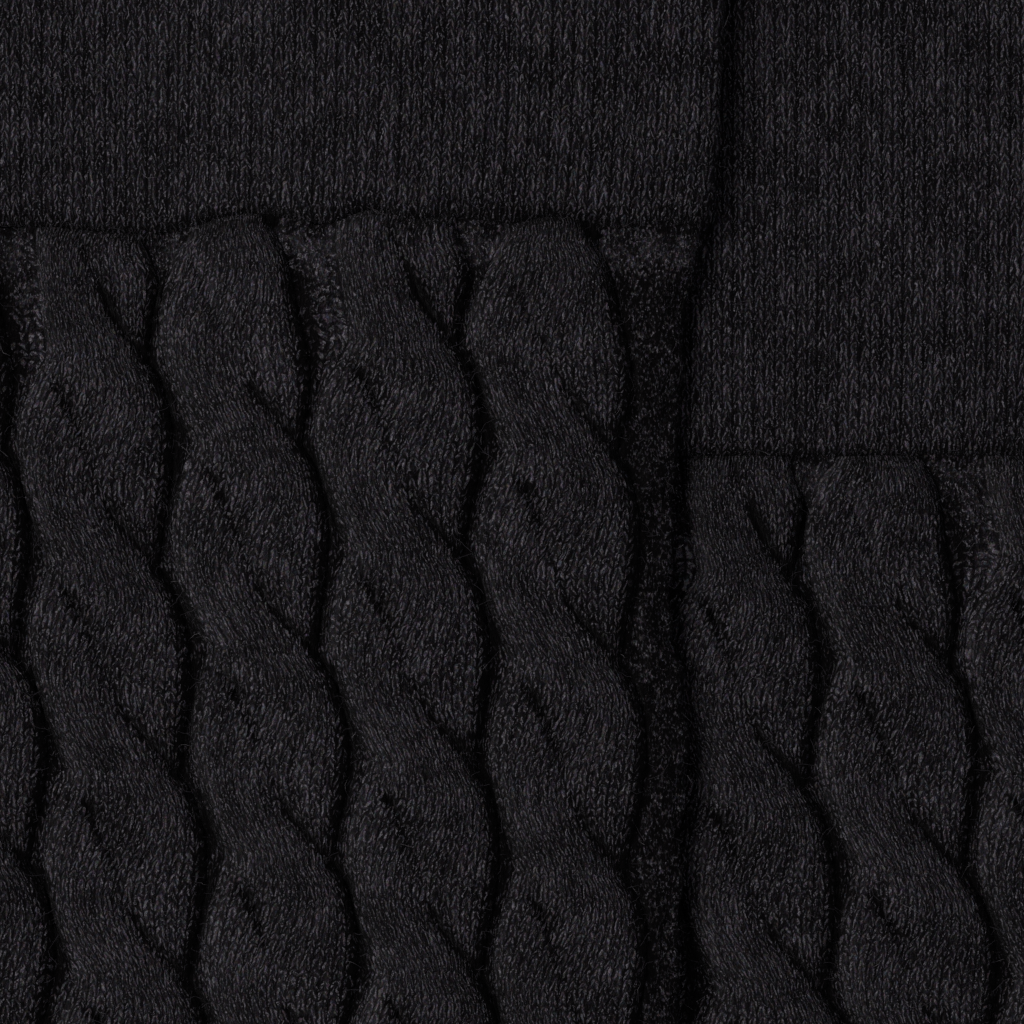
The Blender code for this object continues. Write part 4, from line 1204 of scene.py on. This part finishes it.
for sock in SOCKS:
    wall = Wall(sock, BODY_SECTIONS, HEEL_WALL)
    ends = (TOE_START + SEAM_HALF, TOE_TIP)
    rows = rows_down(*ends, CUFF_COURSE, 2)
    upper = plain_face(BODY_SECTIONS, *ends, 2, 2)
    past_seam = (upper.along - TOE_SEAM) / SEAM_RIDGE_WIDTH
    upper.relief = SEAM_RIDGE * bell(past_seam)
    # Painted shade at both feet of the seam's ridge
    upper.hollow = SEAM_SIDE_SHADE * np.exp(-((np.abs(past_seam) - 1.0) ** 2) / SEAM_SIDE_SHADE_WIDTH)
    width = section_width(BODY_SECTIONS, rows)
    knit_round(wall, upper, rows, 0.0, width, None, PLAIN_GAUGE, tip=True)
    item = knit_piece(wall, "toe", PLAIN_KNIT, {"Stitch height": 0.2 * MM, "Unevenness": 0.5})
    below = sock.rests_on("top_sock_foot")


# Camera, floor and light: straight down, as the photo looks, over the cuff seams, with soft light
# from the left and a little from above.
VIEW_CENTRE = (58.2 * MM, 62.4 * MM)
VIEW_WIDTH = 107.5 * MM
VIEW_LEVEL = 8.0 * MM
LENS = 150.0
SENSOR = 36.0
LAMPS = (
    # name, place from the view's centre, size, power
    ("window", (-0.67, 0.27, 0.93), 0.85, 17.3),
    ("room", (0.3, -0.5, 0.9), 1.2, 1.2),
)
SKY = (0.9, 0.93, 1.0, 1.0)
SKY_STRENGTH = 0.22
FLOOR_COLOUR = (0.55, 0.545, 0.53, 1.0)

scene = bpy.context.scene
lens = bpy.data.cameras.new("camera")
lens.lens, lens.sensor_width = LENS, SENSOR
lens.clip_start, lens.clip_end = 0.01, 10.0
camera = bpy.data.objects.new("camera", lens)
camera.location = (*VIEW_CENTRE, VIEW_LEVEL + VIEW_WIDTH * LENS / SENSOR)
scene.collection.objects.link(camera)
scene.camera = camera
for name, place, size, power in LAMPS:
    lamp = bpy.data.lights.new(name, "AREA")
    lamp.shape, lamp.size, lamp.energy = "DISK", size, power
    item = bpy.data.objects.new(name, lamp)
    item.location = (VIEW_CENTRE[0] + place[0], VIEW_CENTRE[1] + place[1], place[2])
    aim = (camera.location - item.location).copy()
    aim.z = -item.location.z
    item.rotation_mode = "QUATERNION"
    item.rotation_quaternion = aim.to_track_quat("-Z", "Y")
    scene.collection.objects.link(item)
world = bpy.data.worlds.new("room")
world.use_nodes = True
sky = world.node_tree.nodes["Background"].inputs
sky["Color"].default_value = SKY
sky["Strength"].default_value = SKY_STRENGTH
scene.world = world
scene.view_settings.view_transform = "Standard"
bpy.ops.mesh.primitive_plane_add(size=6.0, location=(0.0, 0.0, -0.0002))
floor = bpy.context.object
floor.name = "floor"
pale = bpy.data.materials.new("pale_floor")
pale.use_nodes = True
shader = pale.node_tree.nodes["Principled BSDF"].inputs
shader["Base Color"].default_value = FLOOR_COLOUR
shader["Roughness"].default_value = 0.8
floor.data.materials.append(pale)
